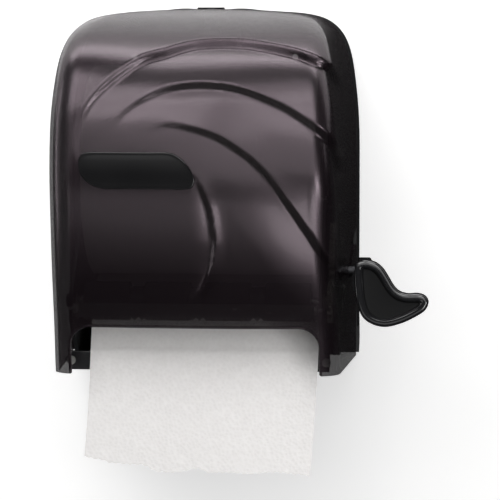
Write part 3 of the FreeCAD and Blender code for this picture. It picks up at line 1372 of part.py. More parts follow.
def towel_web():
    """The paper between the roll and the rail: a straight run, a bend round the pinch roller and a straight run."""
    gap = float(S.nip_gap) / 2
    thick = float(S.towel_thickness) / 4
    bend = float(S.pinch_radius) + gap
    roll = (float(S.roll_depth), float(S.roll_height), float(S.roll_radius) + float(S.towel_gap))
    pinch = (float(PINCH_DEPTH), float(PINCH_HEIGHT), bend)
    across = pinch[0] - roll[0]
    down = roll[1] - pinch[1]
    distance = math.hypot(across, down)
    heading = math.atan2(-down, across)
    turn = math.asin((roll[2] + pinch[2]) / distance)
    run = heading + turn
    normal = (-math.sin(run), math.cos(run))
    leave = (roll[0] - normal[0] * roll[2], roll[1] - normal[1] * roll[2])
    meet = (pinch[0] + normal[0] * pinch[2], pinch[1] + normal[1] * pinch[2])
    rail_edge = (float(S.rail_front + S.towel_gap), float(S.rail_height))
    to_rail = (rail_edge[0] - pinch[0], rail_edge[1] - pinch[1])
    reach = math.hypot(*to_rail)
    fall_angle = math.atan2(to_rail[1], to_rail[0]) - math.acos(bend / reach) * -1
    part_point = (pinch[0] + bend * math.cos(fall_angle), pinch[1] + bend * math.sin(fall_angle))
    start_angle = math.atan2(meet[1] - pinch[1], meet[0] - pinch[0])
    middle_angle = (start_angle + fall_angle) / 2
    middle = (pinch[0] + bend * math.cos(middle_angle), pinch[1] + bend * math.sin(middle_angle))

    def at(point):
        return Vector(float(TOWEL_LEFT), -point[0], float(level(as_length(point[1]))))

    path = Part.Wire([
        Part.LineSegment(at(leave), at(meet)).toShape(),
        Part.Arc(at(meet), at(middle), at(part_point)).toShape(),
        Part.LineSegment(at(part_point), at(rail_edge)).toShape(),
    ])
    band = path.makeOffset2D(thick, 0, True, True)
    solid = band if band.ShapeType == "Face" else Part.Face(band)
    return solid.extrude(Vector(float(TOWEL_RIGHT - TOWEL_LEFT), 0, 0))


keep(shaped("towel_web", towel_web()), "towel_web")


def towel_sheet():
    """The hanging end: it leaves the rail's edge and hangs with a slight forward curl."""
    top = float(level(S.rail_height - S.overrun))
    low = float(level(-S.towel_drop))
    back = -float(S.rail_front + S.towel_gap)
    curl = float(S.towel_curl)
    thick = float(S.towel_thickness)
    x = float(TOWEL_LEFT)

    def sheet_line(offset):
        return Part.Arc(
            Vector(x, back - offset, top),
            Vector(x, back - offset - curl / 4, (top + low) / 2),
            Vector(x, back - offset - curl, low),
        )

    near = sheet_line(0.0)
    front = sheet_line(thick)
    edges = [
        near.toShape(),
        Part.LineSegment(near.EndPoint, front.EndPoint).toShape(),
        front.toShape(),
        Part.LineSegment(front.StartPoint, near.StartPoint).toShape(),
    ]
    face = Part.Face(Part.Wire(Part.__sortEdges__(edges)))
    return face.extrude(Vector(float(TOWEL_RIGHT - TOWEL_LEFT), 0, 0))


keep(shaped("towel_sheet", towel_sheet()), "towel_sheet")

# Every object is sound before anything is written
doc.recompute()
for item in doc.Objects:
    if "Invalid" in item.State or "Error" in item.State:
        raise RuntimeError(f"{item.Label} is {item.State}")
for node in NODES:
    if node.Shape.isNull() or not node.Shape.isValid() or not node.Shape.Solids:
        raise RuntimeError(f"{node.Label} has no sound solid")
os.makedirs("parts", exist_ok=True)
for node in NODES:
    node.Shape.exportStep(f"parts/{node.Label}.step")
    print(node.Label, len(node.Shape.Solids), round(node.Shape.Volume))
print(len(NODES), "sub-parts")
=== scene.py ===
"""Lever dispenser for rolled paper towels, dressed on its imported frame.

Metres throughout. The wall is y = 0, the front looks along -Y, the lever is at +X and +Z is up. Heights are
measured from the bottom edge of the case, which lies 175 mm below the middle of the wall fixing.
"""

import logging
import math
from dataclasses import dataclass
from enum import Enum
from typing import Any, Callable, Sequence

import bmesh
import bpy
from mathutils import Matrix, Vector
from mathutils.kdtree import KDTree

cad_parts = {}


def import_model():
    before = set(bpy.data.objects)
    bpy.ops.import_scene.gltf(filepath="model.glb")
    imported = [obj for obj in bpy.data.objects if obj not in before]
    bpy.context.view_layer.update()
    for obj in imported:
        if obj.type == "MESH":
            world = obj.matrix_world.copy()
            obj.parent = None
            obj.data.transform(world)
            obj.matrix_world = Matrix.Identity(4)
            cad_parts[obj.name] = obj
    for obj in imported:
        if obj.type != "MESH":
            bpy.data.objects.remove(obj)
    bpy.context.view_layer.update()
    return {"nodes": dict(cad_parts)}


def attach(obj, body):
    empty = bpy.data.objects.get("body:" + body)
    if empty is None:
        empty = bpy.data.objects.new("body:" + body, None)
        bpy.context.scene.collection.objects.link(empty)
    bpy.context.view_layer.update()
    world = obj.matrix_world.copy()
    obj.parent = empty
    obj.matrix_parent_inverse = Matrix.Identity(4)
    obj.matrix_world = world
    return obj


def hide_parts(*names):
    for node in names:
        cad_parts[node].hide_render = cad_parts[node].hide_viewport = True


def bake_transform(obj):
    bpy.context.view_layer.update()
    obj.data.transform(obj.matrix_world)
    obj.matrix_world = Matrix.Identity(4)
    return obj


LOG = logging.getLogger("towel_dispenser")
MM = 0.001
FIXING_HEIGHT = 0.175
EMBOSSED_CELLS = 330.0
Point2 = tuple[float, float]
Point3 = tuple[float, float, float]
Colour = tuple[float, float, float]


def point_at(x: float, depth: float, height: float) -> Vector:
    """The point at a place along the wall, a depth from it and a height above the case's bottom."""
    return Vector((x, -depth, height - FIXING_HEIGHT))


def smooth_share(value: float) -> float:
    """Eases a share from 0 to 1 without a corner at either end."""
    share = min(1.0, max(0.0, value))
    return share * share * (3 - 2 * share)


# ---------------------------------------------------------------- shader maths


class Value:
    """A number or vector that a material works out at each point, held as a node's output."""

    def __init__(self, tree: "Recipe", socket: Any) -> None:
        """Keeps the node tree and the socket that gives the value."""
        self.tree = tree
        self.socket = socket

    def __add__(self, other: Any) -> "Value":
        """Sum."""
        return self.tree.maths("ADD", self, other)

    __radd__ = __add__

    def __sub__(self, other: Any) -> "Value":
        """Difference."""
        return self.tree.maths("SUBTRACT", self, other)

    def __rsub__(self, other: Any) -> "Value":
        """Difference, from the right."""
        return self.tree.maths("SUBTRACT", other, self)

    def __mul__(self, other: Any) -> "Value":
        """Product."""
        return self.tree.maths("MULTIPLY", self, other)

    __rmul__ = __mul__

    def __pow__(self, other: Any) -> "Value":
        """Power."""
        return self.tree.maths("POWER", self, other)


class Recipe:
    """The node tree of one material, built through expressions on values."""

    def __init__(self, name: str) -> None:
        """Starts an empty material.

        Args:
            name: The material's name, in plain words.
        """
        self.material = bpy.data.materials.new(name)
        self.material.use_nodes = True
        self.nodes = self.material.node_tree.nodes
        self.links = self.material.node_tree.links
        self.nodes.clear()
        self.place = self.node("ShaderNodeTexCoord", output="Object")

    def node(self, kind: str, settings: dict[str, Any] | None = None, inputs: dict[Any, Any] | None = None,
             output: Any = 0) -> Value:
        """Makes one node, sets it up and joins it.

        Args:
            kind: The node's type.
            settings: Its own settings, such as an operation or a ramp's stops, which are set first.
            inputs: Plain values or values of other nodes for its sockets.
            output: Which of its outputs is wanted.

        Returns:
            The wanted output.
        """
        made = self.nodes.new(kind)
        for name, setting in (settings or {}).items():
            if name == "stops":
                ramp = made.color_ramp.elements
                while len(ramp) < len(setting):
                    ramp.new(0.5)
                for stop, (position, colour) in zip(ramp, setting):
                    stop.position = position
                    stop.color = (*colour, 1.0)
            else:
                setattr(made, name, setting)
        for name, value in (inputs or {}).items():
            socket = made.inputs[name]
            if isinstance(value, Value):
                self.links.new(value.socket, socket)
            else:
                socket.default_value = value
        return Value(self, made.outputs[output])

    def maths(self, operation: str, *values: Any) -> Value:
        """One Math node on numbers or values."""
        return self.node("ShaderNodeMath", {"operation": operation}, dict(enumerate(values)))

    def vector_maths(self, operation: str, *values: Any, output: Any = 0) -> Value:
        """One Vector Math node on points or values."""
        return self.node("ShaderNodeVectorMath", {"operation": operation}, dict(enumerate(values)), output)

    def cells(self, scale: float) -> Value:
        """Soft round cells, that many to the metre."""
        inputs = {"Vector": self.place, "Scale": scale, "Smoothness": 0.6}
        return self.node("ShaderNodeTexVoronoi", {"feature": "SMOOTH_F1"}, inputs, "Distance")

    def noise(self, scale: float, detail: float = 2.0, vector: Value | None = None) -> Value:
        """Soft noise from 0 to 1.

        Args:
            scale: Waves to the metre.
            detail: How many finer layers it has.
            vector: Where to read it, or the object's own coordinates.

        Returns:
            The noise value.
        """
        inputs = {"Vector": vector or self.place, "Scale": scale, "Detail": detail}
        return self.node("ShaderNodeTexNoise", {}, inputs, "Fac")

    def stretched(self, scale: Sequence[float]) -> Value:
        """The object's coordinates stretched along its axes."""
        return self.node("ShaderNodeMapping", {}, {"Vector": self.place, "Scale": tuple(scale)})

    def tone(self, share: Value, low: Colour, high: Colour) -> Value:
        """A colour between two tones."""
        settings = {"data_type": "RGBA"}
        return self.node("ShaderNodeMix", settings, {0: share, 6: (*low, 1.0), 7: (*high, 1.0)}, 2)

    def bump(self, height: Value, distance: float) -> Value:
        """A relief of that depth in metres."""
        return self.node("ShaderNodeBump", {}, {"Height": height, "Distance": distance})

    def finish(self, shader: Value) -> bpy.types.Material:
        """Joins the shader to the output and returns the material.

        Args:
            shader: What the surface does with light.

        Returns:
            The finished material.
        """
        output = self.nodes.new("ShaderNodeOutputMaterial")
        self.links.new(shader.socket, output.inputs["Surface"])
        return self.material

    def principled(self, **inputs: Any) -> Value:
        """The main shader, with sockets named by words joined with underscores."""
        named = {name.replace("_", " "): value for name, value in inputs.items()}
        return self.node("ShaderNodeBsdfPrincipled", {}, named, "BSDF")


# ---------------------------------------------------------------- finishes


@dataclass(frozen=True)
class MouldedPlastic:
    """Moulded plastic with a fine grain, faint flow marks and slightly uneven gloss."""

    name: str
    dark: Colour
    light: Colour
    roughness: float = 0.4
    unevenness: float = 0.08
    grain: float = 2600.0
    grain_depth: float = 0.00002
    flow: float = 14.0
    coat: float = 0.0
    gloss: float = 0.5
    coat_roughness: float = 0.04

    def make(self) -> bpy.types.Material:
        """Builds the material.

        Returns:
            The material.
        """
        recipe = Recipe(self.name)
        cloud = recipe.noise(self.flow, 3.0)
        fine = recipe.noise(self.grain, 2.0)
        rough = self.roughness + (cloud - 0.5) * self.unevenness + (fine - 0.5) * (self.unevenness * 0.5)
        shader = recipe.principled(
            Base_Color=recipe.tone(cloud, self.dark, self.light),
            Roughness=rough,
            Specular_IOR_Level=self.gloss,
            Coat_Weight=self.coat,
            Coat_Roughness=self.coat_roughness,
            Normal=recipe.bump(fine, self.grain_depth),
        )
        return recipe.finish(shader)


@dataclass(frozen=True)
class SmokedPlastic:
    """Glossy smoke-tinted styrene that lets the white roll behind it show through."""

    name: str
    tint: Colour
    deep: Colour
    alpha: float
    roughness: float = 0.27
    unevenness: float = 0.06
    refraction: float = 1.6
    gloss: float = 0.58
    gloss_tint: Colour = (1.0, 0.8, 0.91)
    coat: float = 0.15
    coat_roughness: float = 0.12
    ripple_depth: float = 0.00004

    def make(self) -> bpy.types.Material:
        """Builds the material.

        Returns:
            The material.
        """
        recipe = Recipe(self.name)
        cloud = recipe.noise(6.0, 2.0)
        dust = recipe.noise(900.0, 3.0)
        ripple = recipe.noise(38.0, 1.0)
        shader = recipe.principled(
            Base_Color=recipe.tone(cloud, self.deep, self.tint),
            Roughness=self.roughness + (dust - 0.5) * self.unevenness,
            IOR=self.refraction,
            Specular_IOR_Level=self.gloss,
            Specular_Tint=(*self.gloss_tint, 1.0),
            Coat_Weight=self.coat,
            Coat_Roughness=self.coat_roughness,
            Alpha=self.alpha,
            Normal=recipe.bump(ripple, self.ripple_depth),
        )
        return recipe.finish(shader)


@dataclass(frozen=True)
class WorkedMetal:
    """Drawn, turned or plated metal with fine lines along one axis and a few dull spots."""

    name: str
    dark: Colour
    light: Colour
    roughness: float = 0.3
    lines: tuple[float, float, float] = (60.0, 2400.0, 2400.0)
    line_depth: float = 0.00001
    streak_dulling: float = 0.12
    spot_dulling: float = 0.1

    def make(self) -> bpy.types.Material:
        """Builds the material.

        Returns:
            The material.
        """
        recipe = Recipe(self.name)
        streak = recipe.noise(1.0, 2.0, recipe.stretched(self.lines))
        spots = recipe.noise(160.0, 3.0)
        rough = self.roughness + (streak - 0.5) * self.streak_dulling + (spots - 0.5) * self.spot_dulling
        shader = recipe.principled(
            Base_Color=recipe.tone(streak, self.dark, self.light),
            Metallic=1.0,
            Roughness=rough,
            Normal=recipe.bump(streak, self.line_depth),
        )
        return recipe.finish(shader)


@dataclass(frozen=True)
class GroundRubber:
    """Dull ground rubber with a coarse tooth."""

    name: str
    dark: Colour
    light: Colour
    roughness: float = 0.78
    unevenness: float = 0.2
    tooth_depth: float = 0.00008

    def make(self) -> bpy.types.Material:
        """Builds the material.

        Returns:
            The material.
        """
        recipe = Recipe(self.name)
        tooth = recipe.noise(1500.0, 4.0)
        dust = recipe.noise(70.0, 4.0)
        shader = recipe.principled(
            Base_Color=recipe.tone(dust, self.dark, self.light),
            Roughness=self.roughness + (tooth - 0.5) * self.unevenness,
            Normal=recipe.bump(tooth, self.tooth_depth),
        )
        return recipe.finish(shader)


@dataclass(frozen=True)
class TowelPaper:
    """Soft white towel paper with small embossed dimples, crepe lines and loose fibres."""

    name: str
    shade: Colour
    white: Colour
    roughness: float = 0.9
    unevenness: float = 0.1
    gloss: float = 0.2
    dimple_depth: float = 0.0003

    def make(self) -> bpy.types.Material:
        """Builds the material.

        Returns:
            The material.
        """
        recipe = Recipe(self.name)
        wander = recipe.noise(90.0, 2.0)
        cells = recipe.cells(EMBOSSED_CELLS)
        crepe = recipe.noise(1.0, 2.0, recipe.stretched((260.0, 1600.0, 1600.0)))
        fibre = recipe.noise(2200.0, 4.0)
        relief = cells * 0.9 + crepe * 0.35 + fibre * 0.2 + wander * 0.8
        mottle = wander * 0.4 + cells * 0.35 + fibre * 0.25
        shader = recipe.principled(
            Base_Color=recipe.tone(mottle, self.shade, self.white),
            Roughness=self.roughness + (fibre - 0.5) * self.unevenness,
            Specular_IOR_Level=self.gloss,
            Normal=recipe.bump(relief, self.dimple_depth),
        )
        return recipe.finish(shader)


@dataclass(frozen=True)
class WoundPaper:
    """A roll's paper: embossed round its outside, with fine uneven rings on its ends."""

    name: str
    shade: Colour
    white: Colour
    depth: float
    height: float
    roughness: float = 0.88
    unevenness: float = 0.08
    gloss: float = 0.2
    relief_depth: float = 0.0002

    def make(self) -> bpy.types.Material:
        """Builds the material.

        Returns:
            The material.
        """
        recipe = Recipe(self.name)
        centre = (0.0, self.depth, FIXING_HEIGHT - self.height)
        local = recipe.vector_maths("ADD", recipe.place, centre)
        flat = recipe.vector_maths("MULTIPLY", local, (0.0, 1.0, 1.0))
        radius = recipe.vector_maths("LENGTH", flat, output="Value")
        wander = recipe.noise(40.0, 3.0)
        rings = recipe.maths("SINE", radius * 5200.0 + wander * 5.0) * 0.5 + 0.5
        wide_rings = recipe.maths("SINE", radius * 900.0 + wander * 7.0) * 0.5 + 0.5
        cells = recipe.cells(EMBOSSED_CELLS)
        shader = recipe.principled(
            Base_Color=recipe.tone(rings * 0.35 + wide_rings * 0.3 + cells * 0.35, self.shade, self.white),
            Roughness=self.roughness + (wander - 0.5) * self.unevenness,
            Specular_IOR_Level=self.gloss,
            Normal=recipe.bump(rings * 0.5 + cells, self.relief_depth),
        )
        return recipe.finish(shader)


@dataclass(frozen=True)
class CardTube:
    """Brown card wound on the slant, with faint seams and fibres."""

    name: str
    dark: Colour
    light: Colour
    roughness: float = 0.85
    unevenness: float = 0.1
    relief_depth: float = 0.0001

    def make(self) -> bpy.types.Material:
        """Builds the material.

        Returns:
            The material.
        """
        recipe = Recipe(self.name)
        fibre = recipe.noise(1.0, 4.0, recipe.stretched((200.0, 900.0, 900.0)))
        seam = recipe.node("ShaderNodeTexWave", {"bands_direction": "DIAGONAL"},
                           {"Vector": recipe.place, "Scale": 9.0, "Distortion": 0.6}, "Fac")
        shader = recipe.principled(
            Base_Color=recipe.tone(fibre * 0.75 + seam * 0.25, self.dark, self.light),
            Roughness=self.roughness + (fibre - 0.5) * self.unevenness,
            Normal=recipe.bump(fibre + seam * 0.3, self.relief_depth),
        )
        return recipe.finish(shader)


@dataclass(frozen=True)
class PaintedStage:
    """Plain pale paint of the wall or floor, clear from behind.

    What looks straight at it sees `colour`, brightened by `lift`; all else gets the dim `spill`. Above
    the height `sky_from`, where one is given, gloss mirrors the bright paint too.
    """

    name: str
    colour: Colour
    spill: Colour
    lift: float
    sky_from: float | None = None

    def make(self) -> bpy.types.Material:
        """Builds the material.

        Returns:
            The material.
        """
        recipe = Recipe(self.name)
        grain = recipe.noise(120.0, 2.0)
        darker = tuple(part * 0.985 for part in self.colour)
        paint = recipe.node("ShaderNodeBsdfDiffuse", {}, {"Color": recipe.tone(grain, darker, self.colour)})
        camera = recipe.node("ShaderNodeLightPath", output="Is Camera Ray")
        through = recipe.node("ShaderNodeLightPath", output="Is Transmission Ray")
        seen = recipe.maths("MINIMUM", camera + through, 1.0)
        if self.sky_from is not None:
            height = recipe.node("ShaderNodeSeparateXYZ", {}, {"Vector": recipe.place}, "Z")
            above = recipe.maths("GREATER_THAN", height, self.sky_from)
            mirrored = recipe.node("ShaderNodeLightPath", output="Is Glossy Ray")
            seen = recipe.maths("MAXIMUM", seen, mirrored * above)
        glow = recipe.node("ShaderNodeEmission", {}, {"Color": (1.0, 1.0, 1.0, 1.0), "Strength": self.lift})
        bright = recipe.node("ShaderNodeAddShader", {}, {0: paint, 1: glow})
        shaded = recipe.node("ShaderNodeBsdfDiffuse", {}, {"Color": self.spill + (1.0,)})
        front = recipe.node("ShaderNodeMixShader", {}, {0: seen, 1: shaded, 2: bright})
        clear = recipe.node("ShaderNodeBsdfTransparent")
        behind = recipe.node("ShaderNodeNewGeometry", output="Backfacing")
        return recipe.finish(recipe.node("ShaderNodeMixShader", {}, {0: behind, 1: front, 2: clear}))


BLACK = (0.008, 0.008, 0.009)
SOOT = (0.016, 0.016, 0.017)
STEEL = (0.42, 0.42, 0.41)
BRIGHT_STEEL = (0.62, 0.62, 0.6)


class Finish(Enum):
    """Every finish of the dispenser and of the stage round it."""

    SMOKED = SmokedPlastic("smoked styrene", (0.008, 0.005, 0.0065), (0.005, 0.0035, 0.0045), 0.68)
    HOUSING = MouldedPlastic("grained black housing", BLACK, SOOT, 0.42, grain_depth=0.00004)
    FRAME = MouldedPlastic("black frame moulding", (0.01, 0.01, 0.011), (0.02, 0.02, 0.021), 0.36)
    RAIL = MouldedPlastic("glossy black rail", BLACK, SOOT, 0.16, coat=0.5)
    BADGE = MouldedPlastic("bare black badge", (0.004, 0.004, 0.0045), (0.007, 0.007, 0.0075), 0.2,
                           grain=1400.0, grain_depth=0.000004, coat=0.1, gloss=0.3)
    LEVER_GLOSS = MouldedPlastic("polished black lever", BLACK, (0.012, 0.012, 0.013), 0.14,
                                 grain_depth=0.000004, coat=0.6)
    LEVER_SATIN = MouldedPlastic("satin black dish", (0.004, 0.004, 0.0042), (0.006, 0.006, 0.0063), 0.46,
                                 grain=1800.0, grain_depth=0.00004, gloss=0.12)
    HUB = MouldedPlastic("dark grey acetal", (0.025, 0.025, 0.027), (0.04, 0.04, 0.042), 0.33)
    ACETAL = MouldedPlastic("natural acetal", (0.62, 0.6, 0.54), (0.72, 0.7, 0.64), 0.34)
    STEEL = WorkedMetal("drawn steel", STEEL, BRIGHT_STEEL, 0.26)
    BLACKENED = WorkedMetal("blackened steel", (0.03, 0.03, 0.032), (0.07, 0.07, 0.075), 0.38)
    ZINC = WorkedMetal("zinc plate", (0.35, 0.35, 0.34), (0.5, 0.5, 0.47), 0.38, (500.0, 500.0, 500.0))
    CHROME = WorkedMetal("plated lock", (0.6, 0.6, 0.6), (0.74, 0.74, 0.75), 0.12, (300.0, 300.0, 300.0),
                         0.000004)
    BLADE = WorkedMetal("stainless strip", (0.5, 0.5, 0.49), (0.66, 0.66, 0.64), 0.24,
                        (40.0, 3000.0, 3000.0))
    RUBBER = GroundRubber("ground rubber", (0.012, 0.012, 0.012), (0.03, 0.03, 0.029))
    TOWEL = TowelPaper("embossed towel", (0.72, 0.7, 0.69), (0.86, 0.845, 0.835))
    ROLL = WoundPaper("wound towel", (0.68, 0.66, 0.64), (0.84, 0.825, 0.81), 0.114, 0.176)
    CARD = CardTube("brown card", (0.3, 0.2, 0.11), (0.46, 0.33, 0.2))
    WALL = PaintedStage("white wall", (0.8, 0.795, 0.79), (0.05, 0.05, 0.05), 0.6, 0.16)
    FLOOR = PaintedStage("pale floor", (0.3, 0.3, 0.3), (0.02, 0.02, 0.02), 0.9)


CARRIED_OVER = {
    Finish.HOUSING: ("rear_housing",),
    Finish.FRAME: ("left_side_frame", "right_side_frame", "right_roll_arm", "left_roll_arm", "arm_bracket",
                   "lock_striker", "gear_cover", "pinch_carrier", "feed_roller_core", "pinch_roller"),
    Finish.RAIL: ("bottom_rail",),
    Finish.HUB: ("right_roll_hub", "left_roll_hub", "shaft_collar"),
    Finish.ACETAL: ("feed_bushes", "lever_bush", "sector_gear", "drive_pinion"),
    Finish.STEEL: ("hinge_pins", "arm_pivot_pin", "feed_roller_shaft", "pinch_shaft", "return_spring",
                   "carrier_springs", "one_way_clutch"),
    Finish.BLACKENED: ("lever_shaft", "shaft_clip", "lock_sleeve"),
    Finish.ZINC: ("striker_screw", "frame_screws", "rail_screws", "tear_bar_screws", "arm_screws",
                  "gear_cover_screws", "lever_screw", "lock_nut", "lock_cam"),
    Finish.CHROME: ("lock_barrel",),
    Finish.BLADE: ("tear_bar",),
    Finish.RUBBER: ("feed_grip_sleeves", "pinch_grip_sleeves"),
    Finish.CARD: ("roll_core",),
}


class Paints:
    """The materials made so far, one for each finish."""

    def __init__(self) -> None:
        """Starts with none."""
        self.made: dict[Finish, bpy.types.Material] = {}

    def of(self, finish: Finish) -> bpy.types.Material:
        """The material of a finish, made on first use."""
        if finish not in self.made:
            self.made[finish] = finish.value.make()
        return self.made[finish]


# ---------------------------------------------------------------- making pieces


class Piece:
    """One named mesh of the dressed model."""

    def __init__(self, name: str, paints: Paints, *finishes: Finish) -> None:
        """Starts an empty mesh.

        Args:
            name: The piece's name.
            paints: Where its materials come from.
            finishes: Its finishes, in the order of its slots.
        """
        self.name = name
        self.bm = bmesh.new()
        self.paints = paints
        self.finishes = finishes

    def absorb(self, other: bmesh.types.BMesh, slot: int | None = 0) -> None:
        """Adds another mesh to this one, in one of its slots or, with none named, in those that it has.

        Args:
            other: The mesh to add, which is used up.
            slot: The slot of its faces, or None.
        """
        for face in other.faces:
            face.material_index = face.material_index if slot is None else slot
        mesh = bpy.data.meshes.new("part")
        other.to_mesh(mesh)
        other.free()
        self.bm.from_mesh(mesh)
        bpy.data.meshes.remove(mesh)

    def settle(self, body: str, replaced: Sequence[str] = (), crease: float = 38.0) -> bpy.types.Object:
        """Turns the mesh into an object that rides on a body.

        Args:
            body: The body that it moves with.
            replaced: The solids that it stands for.
            crease: Above this angle in degrees an edge stays sharp.

        Returns:
            The new object.
        """
        limit = math.radians(crease)
        for face in self.bm.faces:
            face.smooth = True
        for edge in self.bm.edges:
            edge.smooth = len(edge.link_faces) == 2 and edge.calc_face_angle(0.0) < limit
        mesh = bpy.data.meshes.new(self.name)
        self.bm.to_mesh(mesh)
        self.bm.free()
        thing = bpy.data.objects.new(self.name, mesh)
        bpy.context.scene.collection.objects.link(thing)
        for finish in self.finishes:
            mesh.materials.append(self.paints.of(finish))
        if body:
            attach(thing, body)
        if replaced:
            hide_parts(*replaced)
        LOG.info("%s: %d faces", self.name, len(mesh.polygons))
        return thing


def turned_about_x(depth: float, height: float, profile: Sequence[Point2],
                   steps: int = 96) -> bmesh.types.BMesh:
    """Turns a closed outline of (x, radius) corners about a line along X.

    Args:
        depth: The line's depth from the wall.
        height: Its height.
        profile: The corners in order.
        steps: How many steps the turn has.

    Returns:
        The turned mesh.
    """
    bm = bmesh.new()
    corners = [bm.verts.new(point_at(x, depth, height + radius)) for x, radius in profile]
    edges = [bm.edges.new((start, end)) for start, end in zip(corners, corners[1:] + corners[:1])]
    centre = point_at(0, depth, height)
    bmesh.ops.spin(bm, geom=corners + edges, cent=centre, axis=(1, 0, 0), dvec=(0, 0, 0), angle=math.tau,
                   steps=steps, use_merge=True, use_duplicate=False)
    bmesh.ops.remove_doubles(bm, verts=bm.verts, dist=1e-6)
    bmesh.ops.recalc_face_normals(bm, faces=bm.faces)
    return bm


def stacked_rings(rings: Sequence[Sequence[Vector]]) -> bmesh.types.BMesh:
    """Joins closed rings into one skin, closed at both ends.

    Args:
        rings: The rings in order, all with the same number of points.

    Returns:
        The closed mesh.
    """
    bm = bmesh.new()
    bmesh.ops.create_circle(bm, cap_ends=True, segments=len(rings[0]), radius=1.0)
    face = next(iter(bm.faces))
    for index, ring in enumerate(rings):
        if index:
            below = face
            grown = bmesh.ops.extrude_face_region(bm, geom=[below])["geom"]
            face = next(item for item in grown if isinstance(item, bmesh.types.BMFace))
            if index > 1 and below.is_valid:
                bmesh.ops.delete(bm, geom=[below], context="FACES_ONLY")
        for vert, place in zip(face.verts, ring):
            vert.co = place
    bmesh.ops.recalc_face_normals(bm, faces=bm.faces[:])
    bmesh.ops.triangulate(bm, faces=[item for item in bm.faces if len(item.verts) > 4])
    return bm


def drawn_in(outline: Sequence[Point2], distance: float) -> list[Point2]:
    """A closed outline drawn in by small, evened-out steps, so that tight bends don't fold.

    Args:
        outline: The outline's points, clockwise or not.
        distance: How far each point moves inward.

    Returns:
        The smaller outline, with as many points.
    """
    points = list(outline)
    count = len(points)
    area = sum(a[0] * b[1] - b[0] * a[1] for a, b in zip(points, points[1:] + points[:1]))
    turn = math.copysign(1.0, area)
    longest_step = 0.0004
    steps = max(1, math.ceil(distance / longest_step))
    for _ in range(steps if distance > 0 else 0):
        moved = []
        for index in range(count):
            (x0, y0), (x1, y1) = points[index - 1], points[(index + 1) % count]
            length = math.hypot(x1 - x0, y1 - y0)
            here = points[index]
            inward = (-(y1 - y0) * turn / length, (x1 - x0) * turn / length)
            moved.append((here[0] + inward[0] * distance / steps, here[1] + inward[1] * distance / steps))
        points = spaced(moved + moved[:1], count + 1)[:-1]
    return points


def bent_run(corners: Sequence[Point2], steps: int, scale: float = 1.0) -> list[Point2]:
    """Points on a smooth curve between the middle two of four corners.

    Args:
        corners: The corner before the run, its two ends and the corner after it.
        steps: How many points it gets, with its end left out.
        scale: What the corners are multiplied by.

    Returns:
        The points from the run's start.
    """
    half = 0.5 * scale
    return [
        tuple(
            half * (2 * b + (c - a) * share + (2 * a - 5 * b + 4 * c - d) * share ** 2
                    + (3 * b - a - 3 * c + d) * share ** 3)
            for a, b, c, d in zip(*corners)
        )
        for share in (step / steps for step in range(steps))
    ]


def closed_curve(points: Sequence[Point2], count: int) -> list[Point2]:
    """Evenly spaced points along a smooth closed curve.

    Args:
        points: The corners that it passes through.
        count: How many points are wanted.

    Returns:
        The points in order.
    """
    total = len(points)
    dense: list[Point2] = []
    for index in range(total):
        dense += bent_run([points[(index + step) % total] for step in (-1, 0, 1, 2)], 24)
    return spaced(dense + dense[:1], count + 1)[:-1]


def spaced(points: Sequence[Point2], count: int) -> list[Point2]:
    """The same number of even steps along a line of points.

    Args:
        points: The line.
        count: How many points are wanted, both ends included.

    Returns:
        The evenly spaced points.
    """
    lengths = [0.0]
    for start, end in zip(points, points[1:]):
        lengths.append(lengths[-1] + math.dist(start, end))
    result = []
    index = 0
    for step in range(count):
        wanted = lengths[-1] * step / (count - 1)
        while index < len(lengths) - 2 and lengths[index + 1] < wanted:
            index += 1
        gap = lengths[index + 1] - lengths[index] or 1.0
        share = min(1.0, max(0.0, (wanted - lengths[index]) / gap))
        start, end = points[index], points[index + 1]
        result.append((start[0] + (end[0] - start[0]) * share, start[1] + (end[1] - start[1]) * share))
    return result


# ---------------------------------------------------------------- the case's form


@dataclass(frozen=True)
class Section:
    """One level outline of the case."""

    depth: float
    half_width: float
    radius: float
    bow: float
    slope: float

    @property
    def side_end(self) -> float:
        """The depth at which the side ends and the round corner starts."""
        return self.depth - self.bow - self.radius

    @property
    def shoulder(self) -> float:
        """How far out the front's bow ends and the round corner starts."""
        return self.half_width - self.slope * self.side_end - self.radius

    def front(self, x: float) -> float:
        """Depth of the front, the corner or the side at a place along the wall.

        Args:
            x: The place along the wall.

        Returns:
            The depth there.
        """
        across = abs(x)
        shoulder = self.shoulder
        if across <= shoulder:
            return self.depth - self.bow * (across / shoulder) ** 2
        if across < shoulder + self.radius:
            return self.side_end + math.sqrt(max(0.0, self.radius ** 2 - (across - shoulder) ** 2))
        return (self.half_width - across) / self.slope


